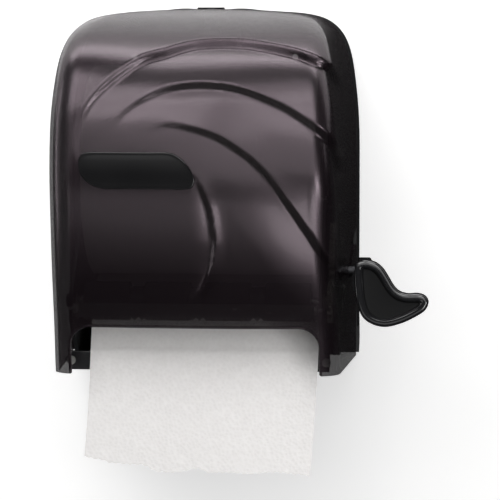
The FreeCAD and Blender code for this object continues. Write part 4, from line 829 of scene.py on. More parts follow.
@dataclass(frozen=True)
class CaseForm:
    """The outer form of the case, the same level outlines as its solids have.

    Each of `shares` is a height, a depth and a half width as shares of the largest ones.
    """

    height: float = 0.319
    half_width: float = 0.135
    depth: float = 0.229
    slope: float = 0.0554
    bow: float = 0.006
    corner: float = 0.022
    smallest_corner: float = 0.42
    shares: tuple[tuple[float, float, float], ...] = (
        (0.0, 0.812, 1.0), (0.138, 0.86, 1.0), (0.298, 0.934, 1.0), (0.47, 0.987, 1.0), (0.58, 1.0, 1.0),
        (0.705, 0.987, 0.992), (0.8, 0.948, 0.97), (0.871, 0.887, 0.942), (0.922, 0.8, 0.897),
        (0.956, 0.69, 0.83), (0.978, 0.576, 0.735), (0.991, 0.47, 0.55), (0.9975, 0.39, 0.31),
        (1.0, 0.3, 0.12),
    )

    def run_lengths(self) -> list[float]:
        """Distance along the middle of the front at each level outline.

        Returns:
            One distance for each level.
        """
        lengths = [0.0]
        for low, high in zip(self.shares, self.shares[1:]):
            rise = (high[0] - low[0]) * self.height
            swell = (high[1] - low[1]) * self.depth
            lengths.append(lengths[-1] + math.hypot(rise, swell))
        return lengths

    def level(self, run: float) -> tuple[float, Section]:
        """The level at a distance along the middle of the front.

        Args:
            run: The distance from the bottom edge.

        Returns:
            The height and the outline there.
        """
        lengths = self.run_lengths()
        index = 0
        while index < len(lengths) - 2 and lengths[index + 1] < run:
            index += 1
        gap = lengths[index + 1] - lengths[index]
        share = min(1.0, max(0.0, (run - lengths[index]) / gap))
        mixed = []
        for part in range(3):
            start, end = self.shares[index][part], self.shares[index + 1][part]
            lean_in = self._lean(lengths, index, part) * gap
            lean_out = self._lean(lengths, index + 1, part) * gap
            mixed.append(
                start * (1 + 2 * share) * (1 - share) ** 2 + lean_in * share * (1 - share) ** 2
                + end * share ** 2 * (3 - 2 * share) + lean_out * share ** 2 * (share - 1)
            )
        return mixed[0] * self.height, self._section(mixed[1], mixed[2])

    def _lean(self, lengths: Sequence[float], index: int, part: int) -> float:
        """Slope of one share at a level, from its two neighbours.

        Args:
            lengths: The levels' distances along the front.
            index: The level.
            part: Which of its shares.

        Returns:
            The share's slope there.
        """
        low = max(index - 1, 0)
        high = min(index + 1, len(lengths) - 1)
        return (self.shares[high][part] - self.shares[low][part]) / (lengths[high] - lengths[low])

    def _section(self, depth_share: float, width_share: float) -> Section:
        """The outline for a share of the depth and of the width.

        Args:
            depth_share: Share of the largest depth.
            width_share: Share of the largest width.

        Returns:
            The level outline.
        """
        depth = self.depth * depth_share
        half = self.half_width * width_share
        radius = min(self.corner, min(half, depth) * self.smallest_corner)
        return Section(depth, half, radius, self.bow * width_share, self.slope * width_share)

    def at_height(self, height: float) -> Section:
        """The outline at a height.

        Args:
            height: Height above the case's bottom.

        Returns:
            The level outline there.
        """
        low, high = 0.0, self.run_lengths()[-1]
        halvings = 30
        for _ in range(halvings):
            middle = (low + high) / 2
            if self.level(middle)[0] < height:
                low = middle
            else:
                high = middle
        return self.level((low + high) / 2)[1]

    def skin(self, x: float, height: float) -> Vector:
        """The point of the front at a place in the front view."""
        return point_at(x, self.at_height(height).front(x), height)

    def facing(self, x: float, height: float) -> Vector:
        """Which way the front looks there.

        Args:
            x: The place along the wall.
            height: Height above the case's bottom.

        Returns:
            The direction, one long.
        """
        reach = 0.0015
        across = self.skin(x + reach, height) - self.skin(x - reach, height)
        upwards = self.skin(x, height + reach) - self.skin(x, height - reach)
        return across.cross(upwards).normalized()


# ---------------------------------------------------------------- the waves


@dataclass(frozen=True)
class Wave:
    """One moulded wave: the skin rises to its line from outside, drops inside it and climbs back slowly.

    The line is in millimetres round the skin from its middle and above the case's bottom, left end first. The
    fades are the shares of the line over which its two ends rise out of the skin.
    """

    line: tuple[Point2, ...]
    crest: float = 0.0018
    bed: float = 0.0046
    outer_run: float = 0.026
    inner_run: float = 0.042
    drop: float = 0.0050
    fade_in: float = 0.3
    fade_out: float = 0.2
    spacing: float = 0.0005

    def relief(self, side: float) -> float:
        """The lift at a distance from the line, above zero on its outer side.

        Args:
            side: Distance from the line.

        Returns:
            How far the skin is lifted there.
        """
        if side >= 0:
            return self.crest * max(0.0, 1 - side / self.outer_run) ** 2
        if side > -self.drop:
            return self.crest - (self.crest + self.bed) * smooth_share(-side / self.drop)
        return -self.bed * max(0.0, 1 - (-side - self.drop) / self.inner_run) ** 1.6

    def samples(self) -> list[Point2]:
        """Close, even points along the line in metres.

        Returns:
            The points, left end first.
        """
        padded = [self.line[0], *self.line, self.line[-1]]
        dense: list[Point2] = []
        for corners in zip(padded, padded[1:], padded[2:], padded[3:]):
            dense += bent_run(corners, 20, MM)
        dense.append((self.line[-1][0] * MM, self.line[-1][1] * MM))
        length = sum(math.dist(start, end) for start, end in zip(dense, dense[1:]))
        return spaced(dense, round(length / self.spacing) + 1)


class WaveField:
    """How far the waves lift the skin at any place of the unrolled skin."""

    def __init__(self, waves: Sequence[Wave]) -> None:
        """Prepares a quick search for each wave.

        Args:
            waves: The waves that lift the skin.
        """
        self.waves = []
        for wave in waves:
            samples = wave.samples()
            tree = KDTree(len(samples))
            for index, (x, height) in enumerate(samples):
                tree.insert((x, height, 0.0), index)
            tree.balance()
            self.waves.append((wave, samples, tree))

    def lift(self, x: float, height: float) -> float:
        """The lift at one place of the unrolled skin.

        Args:
            x: Distance round the skin from its middle.
            height: Height above the case's bottom.

        Returns:
            How far the waves raise the skin there, below zero where they sink it.
        """
        total = 0.0
        for wave, samples, tree in self.waves:
            nearest, index, distance = tree.find((x, height, 0.0))
            if distance > wave.inner_run + wave.drop:
                continue
            last = len(samples) - 1
            before = samples[max(index - 1, 0)]
            after = samples[min(index + 1, last)]
            run = Vector((after[0] - before[0], after[1] - before[1])).normalized()
            side = (x - nearest.x) * -run.y + (height - nearest.y) * run.x
            along = (x - nearest.x) * run.x + (height - nearest.y) * run.y
            share = index / last
            strength = smooth_share(share / wave.fade_in) * smooth_share((1 - share) / wave.fade_out)
            if index in (0, last):
                strength *= smooth_share(1 - abs(along) / wave.drop)
            total += strength * wave.relief(side)
        return total


# ---------------------------------------------------------------- the cover


@dataclass
class Cover:
    """The smoke-tinted cover: a thin shell with waves, the arched mouth, hinge knuckles and a shaft slot.

    Each of `row_bands` is a number of grid rows and the share of the front's length that they reach up to.
    """

    form: CaseForm
    field_of_waves: WaveField
    paints: Paints
    rear: float = 0.0263
    wall: float = 0.003
    wave_fade: float = 0.02
    wave_easing: float = 0.5
    mouth_half_width: float = 0.110
    mouth_height: float = 0.044
    mouth_corner: float = 0.019
    lip_bead: float = 0.0013
    hinge_depth: float = 0.020
    hinge_height: float = 0.012
    knuckle_radius: float = 0.0085
    knuckle_bore: float = 0.00308
    knuckle_inner: float = 0.119
    tongue_start: float = 0.45
    slot_radius: float = 0.09869
    slot_half_width: float = 0.0072
    slot_start: Point2 = (0.0876, 0.0839)
    mouth_past_depth: float = 0.12
    slot_past_x: float = 0.1
    slot_within_depth: float = 0.15
    right_columns: int = 40
    left_columns: int = 20
    corner_columns: int = 16
    front_columns: int = 136
    row_bands: tuple[tuple[int, float], ...] = ((22, 0.12), (180, 0.73), (22, 1.0))

    def build(self) -> bpy.types.Object:
        """Makes the cover.

        Returns:
            The cover.
        """
        piece = Piece("smoked_cover", self.paints, Finish.SMOKED)
        self._skin(piece.bm)
        self._trim(piece.bm, self._mouth_gap, self._on_front, lambda co: -co.y > self.mouth_past_depth)
        self._trim(piece.bm, self._slot_gap, lambda co: co,
                   lambda co: co.x > self.slot_past_x and -co.y < self.slot_within_depth)
        bmesh.ops.solidify(piece.bm, geom=piece.bm.faces[:], thickness=self.wall)
        piece.absorb(self._bead())
        for side in (-1, 1):
            piece.absorb(self._knuckle(side))
        return piece.settle("cover", ["cover"])

    def _skin(self, bm: bmesh.types.BMesh) -> None:
        """Lays a grid over the outer form and lifts it along the waves.

        Args:
            bm: The empty mesh that gets the skin.
        """
        columns = self.right_columns + self.left_columns + self.corner_columns * 2 + self.front_columns
        rows = sum(count for count, _ in self.row_bands)
        bmesh.ops.create_grid(bm, x_segments=columns, y_segments=rows, size=0.5)
        total = self.form.run_lengths()[-1]
        levels = [self.form.level(0.0)]
        reached = 0.0
        for count, end in self.row_bands:
            levels.extend(self.form.level(total * (reached + (end - reached) * (row + 1) / count))
                          for row in range(count))
            reached = end
        grid: dict[tuple[int, int], bmesh.types.BMVert] = {}
        rows_of: dict[bmesh.types.BMVert, int] = {}
        for vert in bm.verts:
            column = round((vert.co.x + 0.5) * columns)
            row = round((vert.co.y + 0.5) * rows)
            height, section = levels[row]
            x, depth = self._outline(section, column)
            vert.co = point_at(x, depth, height)
            grid[column, row] = vert
            rows_of[vert] = row
        bm.normal_update()
        if next(iter(bm.faces)).normal.y > 0:
            bmesh.ops.reverse_faces(bm, faces=bm.faces[:])
        crest = [grid[column, rows] for column in range(columns + 1)]
        cap = bmesh.ops.contextual_create(bm, geom=crest)["faces"]
        bmesh.ops.recalc_face_normals(bm, faces=bm.faces[:])
        if cap and cap[0].normal.z < 0:
            bmesh.ops.reverse_faces(bm, faces=bm.faces[:])
        bm.normal_update()
        lifts = []
        for vert in bm.verts:
            height = vert.co.z + FIXING_HEIGHT
            around = self._around(levels[rows_of[vert]][1], vert.co)
            lifts.append((vert, vert.normal.copy(), self.field_of_waves.lift(around, height)))
        raised = []
        for vert, normal, lift in lifts:
            if lift:
                raised.append(vert)
                vert.co += normal * lift * smooth_share((-vert.co.y - self.rear) / self.wave_fade)
        inner = [vert for vert in raised if not vert.is_boundary]
        bmesh.ops.smooth_vert(bm, verts=inner, factor=self.wave_easing, use_axis_x=True, use_axis_y=True,
                              use_axis_z=True)

    def _around(self, section: Section, co: Vector) -> float:
        """Distance round the level outline from its middle, below zero on the left.

        Args:
            section: The level outline.
            co: A point on it.

        Returns:
            The distance.
        """
        across = abs(co.x)
        if across <= section.shoulder:
            return co.x
        if -co.y > section.side_end:
            turn = math.atan2(across - section.shoulder, -co.y - section.side_end)
            return math.copysign(section.shoulder + section.radius * turn, co.x)
        return math.copysign(section.shoulder + section.radius * math.pi / 2 + section.side_end + co.y, co.x)

    def _outline(self, section: Section, column: int) -> Point2:
        """One grid column's place on a level outline.

        Args:
            section: The outline.
            column: The column, from the right rear edge round the front to the left one.

        Returns:
            Its place along the wall and its depth.
        """
        side_end = section.side_end
        if column <= self.right_columns:
            depth = self.rear + (side_end - self.rear) * column / self.right_columns
            return section.half_width - section.slope * depth, depth
        column -= self.right_columns
        if column <= self.corner_columns:
            return self._round_corner(section, math.pi / 2 * column / self.corner_columns)
        column -= self.corner_columns
        if column <= self.front_columns:
            x = section.shoulder * (1 - 2 * column / self.front_columns)
            return x, section.front(x)
        column -= self.front_columns
        if column <= self.corner_columns:
            x, depth = self._round_corner(section, math.pi / 2 * (1 - column / self.corner_columns))
            return -x, depth
        column -= self.corner_columns
        depth = side_end + (self.rear - side_end) * column / self.left_columns
        return section.slope * depth - section.half_width, depth

    def _round_corner(self, section: Section, turn: float) -> Point2:
        """A place on the outline's right round corner, from its side at no turn to its front at a quarter."""
        across, along = section.radius * math.cos(turn), section.radius * math.sin(turn)
        return section.shoulder + across, section.side_end + along

    def _mouth_gap(self, co: Vector) -> float:
        """Distance outside the mouth's arch, below zero inside it.

        Args:
            co: A point of the skin.

        Returns:
            The distance.
        """
        across = abs(co.x) - (self.mouth_half_width - self.mouth_corner)
        up = co.z + FIXING_HEIGHT - (self.mouth_height - self.mouth_corner)
        if across > 0 and up > 0:
            return math.hypot(across, up) - self.mouth_corner
        return max(across, up) - self.mouth_corner

    def _slot_gap(self, co: Vector) -> float:
        """Distance outside the curved slot of the lever's shaft.

        Args:
            co: A point of the skin.

        Returns:
            The distance, below zero inside the slot.
        """
        height = co.z + FIXING_HEIGHT
        ahead, up = -co.y - self.hinge_depth, height - self.hinge_height
        start_depth, start_height = self.slot_start
        start_turn = math.atan2(start_height - self.hinge_height, start_depth - self.hinge_depth)
        if math.atan2(up, ahead) >= start_turn:
            return abs(math.hypot(ahead, up) - self.slot_radius) - self.slot_half_width
        return math.hypot(-co.y - start_depth, height - start_height) - self.slot_half_width

    def _on_front(self, co: Vector) -> Vector:
        """The point of the front straight behind a place."""
        return self.form.skin(co.x, max(0.0, co.z + FIXING_HEIGHT))

    def _trim(self, bm: bmesh.types.BMesh, gap: Callable[[Vector], float],
              settle: Callable[[Vector], Vector], near: Callable[[Vector], bool]) -> None:
        """Cuts an opening with a clean edge into the grid.

        Args:
            bm: The mesh.
            gap: Distance outside the opening.
            settle: Brings a moved point back onto the skin.
            near: Which points may belong to the opening.
        """
        gaps = {vert: gap(vert.co) for vert in bm.verts if near(vert.co)}
        moved = set()
        for edge in bm.edges:
            start, end = edge.verts
            if start in gaps and end in gaps and gaps[start] * gaps[end] < 0:
                moved.add(start if abs(gaps[start]) < abs(gaps[end]) else end)
        tiny, rounds, least_slope = 1e-5, 4, 0.1
        for vert in moved:
            place = vert.co.copy()
            for _ in range(rounds):
                here = gap(place)
                slopes = Vector([
                    (gap(place + step) - here) / tiny
                    for step in (Vector((tiny, 0, 0)), Vector((0, tiny, 0)), Vector((0, 0, tiny)))
                ])
                if slopes.length > least_slope:
                    place = settle(place - slopes * (here / slopes.length_squared))
            vert.co = place
            gaps[vert] = 0.0
        edge_gap = 0.00002
        gone = [face for face in bm.faces if all(gaps.get(vert, 1.0) < edge_gap for vert in face.verts)]
        bmesh.ops.delete(bm, geom=gone, context="FACES")

    def _bead(self) -> bmesh.types.BMesh:
        """The rounded rim along the mouth's edge.

        Returns:
            The rim's mesh.
        """
        half, top, corner = self.mouth_half_width, self.mouth_height, self.mouth_corner
        foot, side_steps, corner_steps, top_steps = 0.001, 12, 24, 60
        left = [(-half, foot + (top - corner - foot) * step / side_steps) for step in range(side_steps + 1)]
        for step in range(1, corner_steps):
            turn = math.pi / 2 * step / corner_steps
            left.append((-half + corner - corner * math.cos(turn), top - corner + corner * math.sin(turn)))
        middle = [(-half + corner + (half - corner) * 2 * step / top_steps, top)
                  for step in range(top_steps + 1)]
        right = [(-x, height) for x, height in reversed(left)]
        curve = bpy.data.curves.new("rim_line", "CURVE")
        curve.dimensions = "3D"
        spline = curve.splines.new("POLY")
        inward = Vector((0, self.wall / 2, 0))
        places = [self.form.skin(x, height) + inward for x, height in left + middle + right]
        spline.points.add(len(places) - 1)
        for target, place in zip(spline.points, places):
            target.co = (*place, 1.0)
        curve.bevel_depth = self.lip_bead
        curve.bevel_resolution = 3
        curve.use_fill_caps = True
        holder = bpy.data.objects.new("rim_line", curve)
        bpy.context.scene.collection.objects.link(holder)
        mesh = bpy.data.meshes.new_from_object(holder)
        bm = bmesh.new()
        bm.from_mesh(mesh)
        bpy.data.objects.remove(holder)
        bpy.data.curves.remove(curve)
        bpy.data.meshes.remove(mesh)
        return bm

    def _knuckle(self, side: int) -> bmesh.types.BMesh:
        """One hinge eye with its tongue, at a lower rear corner.

        Args:
            side: 1 for the right one, -1 for the left one.

        Returns:
            The eye's mesh.
        """
        outer = self.form.half_width - self.wall
        inner, bore, radius, bevel = self.knuckle_inner, self.knuckle_bore, self.knuckle_radius, 0.0006
        profile = ((inner, bore), (inner, radius - bevel), (inner + bevel, radius), (outer, radius),
                   (outer, bore))
        bm = turned_about_x(self.hinge_depth, self.hinge_height, profile, 48)
        tongue = bmesh.ops.create_cube(bm, size=1.0)["verts"]
        start = self.hinge_depth + radius * self.tongue_start
        end = self.rear + radius
        centre = point_at((inner + outer) / 2, (start + end) / 2, self.hinge_height)
        bmesh.ops.scale(bm, vec=(outer - inner, end - start, radius * 2), verts=tongue)
        bmesh.ops.translate(bm, vec=centre, verts=tongue)
        if side < 0:
            bmesh.ops.scale(bm, vec=(-1, 1, 1), verts=bm.verts)
            bmesh.ops.reverse_faces(bm, faces=bm.faces[:])
        return bm


# ---------------------------------------------------------------- the badge


@dataclass
class Badge:
    """The bare black lozenge on the front.

    `shares` are the corners of its outline across and up, `rings` each ring's size and share of `proud`.
    """

    form: CaseForm
    paints: Paints
    left: float = -0.095
    right: float = 0.005
    bottom: float = 0.1662
    top: float = 0.1976
    proud: float = 0.0034
    smallest_inset: float = 0.4
    points: int = 120
    shares: tuple[Point2, ...] = (
        (0.22, 0.0), (0.4, 0.0), (0.6, 0.0), (0.8, 0.0), (0.93, 0.0), (0.985, 0.06), (1.0, 0.3),
        (0.965, 0.55), (0.92, 0.74), (0.85, 0.92), (0.77, 1.0), (0.6, 1.0), (0.4, 1.0), (0.2, 1.0),
        (0.07, 0.985), (0.015, 0.88), (0.0, 0.7), (0.01, 0.46), (0.045, 0.27), (0.11, 0.1),
    )
    rings: tuple[tuple[float, float], ...] = (
        (1.0, -0.3), (1.0, 0.45), (0.992, 0.78), (0.978, 0.94), (0.955, 1.0), (0.925, 0.985), (0.8, 0.985),
        (0.6, 0.985), (0.4, 0.985), (0.2, 0.985), (0.03, 0.985),
    )

    def build(self) -> bpy.types.Object:
        """Makes the badge from rings that follow the skin behind it.

        Returns:
            The badge.
        """
        piece = Piece("bare_badge", self.paints, Finish.BADGE)
        outline = closed_curve(self.shares, self.points)
        piece.absorb(stacked_rings([self._ring(outline, size, offset) for size, offset in self.rings]))
        return piece.settle("cover", ["badge"])

    def _ring(self, outline: Sequence[Point2], size: float, offset: float) -> list[Vector]:
        """One ring that follows the skin.

        Args:
            outline: The lozenge's outline, as shares of its width and height.
            size: The ring's share of the outline.
            offset: Its share of how far the badge stands proud.

        Returns:
            The ring's points.
        """
        width = self.right - self.left
        tall = self.top - self.bottom
        places = []
        for across, up in outline:
            x = self.left + width * (0.5 + (across - 0.5) * self._inset(size, width))
            height = self.bottom + tall * (0.5 + (up - 0.5) * size)
            places.append(self.form.skin(x, height) + self.form.facing(x, height) * self.proud * offset)
        return places

    def _inset(self, size: float, width: float) -> float:
        """The same border width along the lozenge as across it.

        Args:
            size: The ring's share of the outline.
            width: The lozenge's width.

        Returns:
            The ring's share of that width.
        """
        border = (1 - size) * (self.top - self.bottom)
        return max(size * self.smallest_inset, 1 - border / width)


# ---------------------------------------------------------------- the lever


@dataclass
class Lever:
    """The lever: a hub on its shaft, an arm beside the case and the dished paddle in front.

    `shares` are the corners of the paddle's outline across and up.
    """

    paints: Paints
    axis_depth: float = 0.0876
    axis_height: float = 0.0839
    inner: float = 0.138
    outer: float = 0.150
    hub_radius: float = 0.0125
    recess_radius: float = 0.00392
    recess_depth: float = 0.004
    arm_half: float = 0.012
    nose_half: float = 0.0086
    paddle_left: float = 0.140
    paddle_width: float = 0.064
    paddle_bottom: float = 0.046
    paddle_tall: float = 0.058
    paddle_back: float = 0.186
    paddle_thick: float = 0.013
    rim: float = 0.0026
    dish: float = 0.003
    dish_slope: float = 0.0024
    edge: float = 0.003
    edge_steps: int = 6
    points: int = 160
    shaft_wall: float = 0.0012
    hub_soft: float = 0.0018
    hub_bore: float = 0.005
    screw_bore: float = 0.0022
    shares: tuple[Point2, ...] = (
        (0.0, 0.8), (0.02, 0.95), (0.14, 1.0), (0.28, 0.965), (0.38, 0.88), (0.46, 0.75), (0.53, 0.62),
        (0.61, 0.535), (0.72, 0.5), (0.85, 0.505), (0.95, 0.47), (1.0, 0.375), (0.95, 0.25), (0.8, 0.14),
        (0.62, 0.05), (0.42, 0.0), (0.24, 0.04), (0.11, 0.15), (0.04, 0.34), (0.01, 0.57),
    )

    def build(self) -> bpy.types.Object:
        """Makes the lever.

        Returns:
            The lever.
        """
        piece = Piece("hand_lever", self.paints, Finish.LEVER_GLOSS, Finish.LEVER_SATIN)
        piece.absorb(self._paddle(), None)
        piece.absorb(self._arm())
        piece.absorb(self._hub())
        return piece.settle("lever", ["lever"], 30.0)

    def _paddle(self) -> bmesh.types.BMesh:
        """The paddle, with rounded edges, a polished rim and a satin dish.

        Returns:
            The paddle's mesh, with the dish in the second slot.
        """
        outline = [(self.paddle_left + self.paddle_width * across, self.paddle_bottom + self.paddle_tall * up)
                   for across, up in closed_curve(self.shares, self.points)]
        back, front = self.paddle_back, self.paddle_back + self.paddle_thick
        edge, dish = self.edge, self.dish
        turns = [math.pi / 2 * step / self.edge_steps for step in range(self.edge_steps + 1)]
        ladder = [(edge * (1 - math.sin(turn)), back + edge * (1 - math.cos(turn))) for turn in turns]
        ladder += [(edge * (1 - math.cos(turn)), front - edge * (1 - math.sin(turn))) for turn in turns]
        brink = edge + self.rim
        foot = brink + self.dish_slope
        ladder += [
            (brink - 0.0005, front), (brink, front - 0.0003),
            (brink + self.dish_slope * 0.5, front - dish * 0.62), (foot, front - dish * 0.95),
            (foot + 0.0015, front - dish),
        ]
        bm = stacked_rings([[point_at(x, depth, height) for x, height in drawn_in(outline, inset)]
                            for inset, depth in ladder])
        floor = front - dish * 0.5
        for face in bm.faces:
            middle = -face.calc_center_median().y
            if face.normal.y < -0.2 and middle < floor and middle > front - dish * 1.1:
                face.material_index = 1
        return bm

    def _arm(self) -> bmesh.types.BMesh:
        """The tapered arm from the hub to the paddle.

        Returns:
            The arm's mesh.
        """
        bm = bmesh.new()
        start = self.axis_depth + self.recess_radius + self.shaft_wall
        end = self.paddle_back + self.edge
        root, nose = self.arm_half, self.nose_half
        corners = ((start, root), (end, nose), (end, -nose), (start, -root))
        verts = [bm.verts.new(point_at(self.inner, depth, self.axis_height + up)) for depth, up in corners]
        face = bm.faces.new(verts)
        grown = bmesh.ops.extrude_face_region(bm, geom=[face])["geom"]
        moved = [item for item in grown if isinstance(item, bmesh.types.BMVert)]
        bmesh.ops.translate(bm, vec=(self.outer - self.inner, 0, 0), verts=moved)
        bmesh.ops.recalc_face_normals(bm, faces=bm.faces[:])
        least_run = 0.02
        long_edges = [edge for edge in bm.edges if abs(edge.verts[0].co.y - edge.verts[1].co.y) > least_run]
        bmesh.ops.bevel(bm, geom=long_edges, offset=self.edge, offset_type="OFFSET", segments=6, profile=0.5,
                        affect="EDGES", material=-1, clamp_overlap=True)
        return bm

    def _hub(self) -> bmesh.types.BMesh:
        """The round hub with the recess of its screw.

        Returns:
            The hub's mesh.
        """
        inner, outer, radius, recess = self.inner, self.outer, self.hub_radius, self.recess_radius
        soft, bevel = self.hub_soft, 0.0004
        floor = outer - self.recess_depth
        return turned_about_x(self.axis_depth, self.axis_height, (
            (inner, self.hub_bore), (inner, radius - soft), (inner + soft * 0.3, radius - soft * 0.3),
            (inner + soft, radius), (outer - soft, radius), (outer - soft * 0.3, radius - soft * 0.3),
            (outer, radius - soft), (outer, recess + bevel), (outer - bevel, recess), (floor, recess),
            (floor, self.screw_bore), (inner + soft, self.screw_bore), (inner + soft, self.hub_bore),
        ))


# ---------------------------------------------------------------- the paper


@dataclass
class Paper:
    """The wound roll and the towel that runs from it over the pinch roller to the rail and hangs before it.

    `tear` gives how far above the towel's lowest point it was torn, at places along the wall.
    """

    paints: Paints
    left: float = -0.0963
    right: float = 0.1063
    roll_left: float = -0.0966
    roll_right: float = 0.1066
    roll_depth: float = 0.114
    roll_height: float = 0.176
    roll_radius: float = 0.093
    core_radius: float = 0.0216
    pinch: Point2 = (0.125594, 0.052593)
    pinch_radius: float = 0.01075
    rail_edge: Point2 = (0.1508, 0.017)
    drop: float = 0.0935
    curl: float = 0.003
    sway: float = -0.0072
    bend: float = 0.004
    roll_clearance: float = 0.0003
    thickness: float = 0.00016
    mean_tear: float = 0.0046
    columns: int = 170
    rows: int = 220
    tear: tuple[Point2, ...] = (
        (-0.0963, 0.0153), (-0.084, 0.0131), (-0.07, 0.0096), (-0.045, 0.0088), (-0.029, 0.0028),
        (-0.014, 0.0024), (0.008, 0.0061), (0.016, 0.0028), (0.041, 0.0028), (0.051, 0.0024), (0.078, 0.0039),
        (0.1, 0.002), (0.1063, 0.0),
    )
    tooth_pitch: float = 0.0064
    tooth_depth: float = 0.0011
    fray: float = 0.0004
    wave: float = 0.0011
    small_wave: float = 0.0005
    outward: float = 0.0009

    def build(self) -> list[bpy.types.Object]:
        """Makes the roll and the towel."""
        return [self._roll(), self._towel()]

    def _roll(self) -> bpy.types.Object:
        """The wound roll, its edges a little soft and its ends slightly dished by the winding.

        Returns:
            The roll.
        """
        piece = Piece("wound_roll", self.paints, Finish.ROLL)
        soft, dished = 0.0012, 0.0005
        left, right, radius, core = self.roll_left, self.roll_right, self.roll_radius, self.core_radius
        middle = (core + radius) / 2
        piece.absorb(turned_about_x(self.roll_depth, self.roll_height, (
            (left, core), (left + dished, middle), (left, radius - soft),
            (left + soft * 0.3, radius - soft * 0.3), (left + soft, radius), (right - soft, radius),
            (right - soft * 0.3, radius - soft * 0.3), (right, radius - soft), (right - dished, middle),
            (right, core),
        ), 180))
        return piece.settle("paper_roll", ["paper_roll"])

    def _path(self) -> list[Point2]:
        """The towel's line in side view.

        Returns:
            Depths and heights from the roll round the pinch roller and over the rail to the lowest end.
        """
        roll = self.roll_radius + self.roll_clearance
        across = self.pinch[0] - self.roll_depth
        down = self.roll_height - self.pinch[1]
        distance = math.hypot(across, down)
        run = math.atan2(-down, across) + math.asin((roll + self.pinch_radius) / distance)
        normal = (-math.sin(run), math.cos(run))
        leave = (self.roll_depth - normal[0] * roll, self.roll_height - normal[1] * roll)
        to_rail = (self.rail_edge[0] - self.pinch[0], self.rail_edge[1] - self.pinch[1])
        reach = math.hypot(*to_rail)
        start = math.atan2(normal[1], normal[0])
        end = math.atan2(to_rail[1], to_rail[0]) + math.acos(self.pinch_radius / reach)
        line = [leave]
        for step in range(13):
            turn = start + (end - start) * step / 12
            line.append((self.pinch[0] + self.pinch_radius * math.cos(turn),
                         self.pinch[1] + self.pinch_radius * math.sin(turn)))
        fold_depth, fold_height = self.rail_edge
        bend = self.bend
        before = (fold_depth - to_rail[0] / reach * bend, fold_height - to_rail[1] / reach * bend)
        over = (fold_depth + 0.0002, fold_height + 0.0004)
        below = (fold_depth + 0.0001, fold_height - bend)
        line.append(before)
        for step in range(1, 9):
            share = step / 9
            inverse = 1 - share
            line.append(tuple(inverse ** 2 * a + 2 * share * inverse * b + share ** 2 * c
                              for a, b, c in zip(before, over, below)))
        hang = self.drop + fold_height - bend
        for step in range(1, 31):
            share = step / 30
            line.append((below[0] + self.curl * share ** 1.6, below[1] - hang * share))
        return line

    def _tear_height(self, x: float) -> float:
        """How far above its lowest point the towel was torn.

        Args:
            x: The place along the wall.

        Returns:
            The height there.
        """
        for (x0, low), (x1, high) in zip(self.tear, self.tear[1:]):
            if x <= x1:
                share = smooth_share((x - x0) / (x1 - x0))
                ragged = low + (high - low) * share
                break
        else:
            ragged = self.tear[-1][1]
        saw = abs((x / self.tooth_pitch) % 1.0 - 0.5) * 2
        fibres = math.sin(x * 5100) * 0.5 + math.sin(x * 11900 + 1.3) * 0.3
        return max(0.0, ragged + saw * self.tooth_depth + fibres * self.fray)

    def _towel(self) -> bpy.types.Object:
        """The single piece of towel, embossed, a little wavy towards its torn end.

        Returns:
            The towel.
        """
        piece = Piece("paper_towel", self.paints, Finish.TOWEL)
        bm = piece.bm
        line = self._path()
        bmesh.ops.create_grid(bm, x_segments=self.columns, y_segments=self.rows, size=0.5)
        steps = 1400
        spots = spaced(line, steps + 1)
        lengths = [0.0]
        for start, end in zip(spots, spots[1:]):
            lengths.append(lengths[-1] + math.dist(start, end))
        total = lengths[-1]
        hang_start = total - self.drop - self.rail_edge[1]
        for vert in bm.verts:
            share_x = vert.co.x + 0.5
            share_y = vert.co.y + 0.5
            x = self.left + (self.right - self.left) * share_x
            torn = self._tear_height(x)
            run = (total - torn) * share_y
            index = min(steps - 1, int(run / total * steps))
            part = run / total * steps - index
            depth = spots[index][0] + (spots[index + 1][0] - spots[index][0]) * part
            height = spots[index][1] + (spots[index + 1][1] - spots[index][1]) * part
            low = max(0.0, (run - hang_start) / (total - hang_start))
            wave = math.sin(x * 21 + 0.6) * self.wave + math.sin(x * 47 + height * 9) * self.small_wave
            depth += (wave + self.outward) * low ** 1.5
            vert.co = point_at(x + self.sway * low ** 1.3, depth, height)
        bm.normal_update()
        front = min(bm.faces, key=lambda item: item.calc_center_median().z)
        if front.normal.y > 0:
            bmesh.ops.reverse_faces(bm, faces=bm.faces[:])
        bmesh.ops.solidify(bm, geom=bm.faces[:], thickness=self.thickness)
        towel = piece.settle("", ["towel_web", "towel_sheet"])
        top = point_at(0, self.rail_edge[0], self.rail_edge[1] - 0.001)
        low_end = point_at(0, self.rail_edge[0], -self.drop)
        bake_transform(towel)
        return towel


# ---------------------------------------------------------------- the studio


@dataclass(frozen=True)
class Lamp:
    """One rectangular soft lamp: where it stands, what it looks at, its size and its power in watts."""

    name: str
    place: Point3
    aim: Point3
    width: float
    tall: float
    power: float
    off_wall: bool = False

    def make(self) -> bpy.types.Object:
        """Sets up the lamp.

        Returns:
            The lamp's object.
        """
        light = bpy.data.lights.new(self.name, "AREA")
        light.shape = "RECTANGLE"
        light.size = self.width
        light.size_y = self.tall
        light.energy = self.power
        lamp = bpy.data.objects.new(self.name, light)
        lamp.location = self.place
        lamp.rotation_euler = (Vector(self.aim) - Vector(self.place)).to_track_quat("-Z", "Y").to_euler()
        bpy.context.scene.collection.objects.link(lamp)
        return lamp


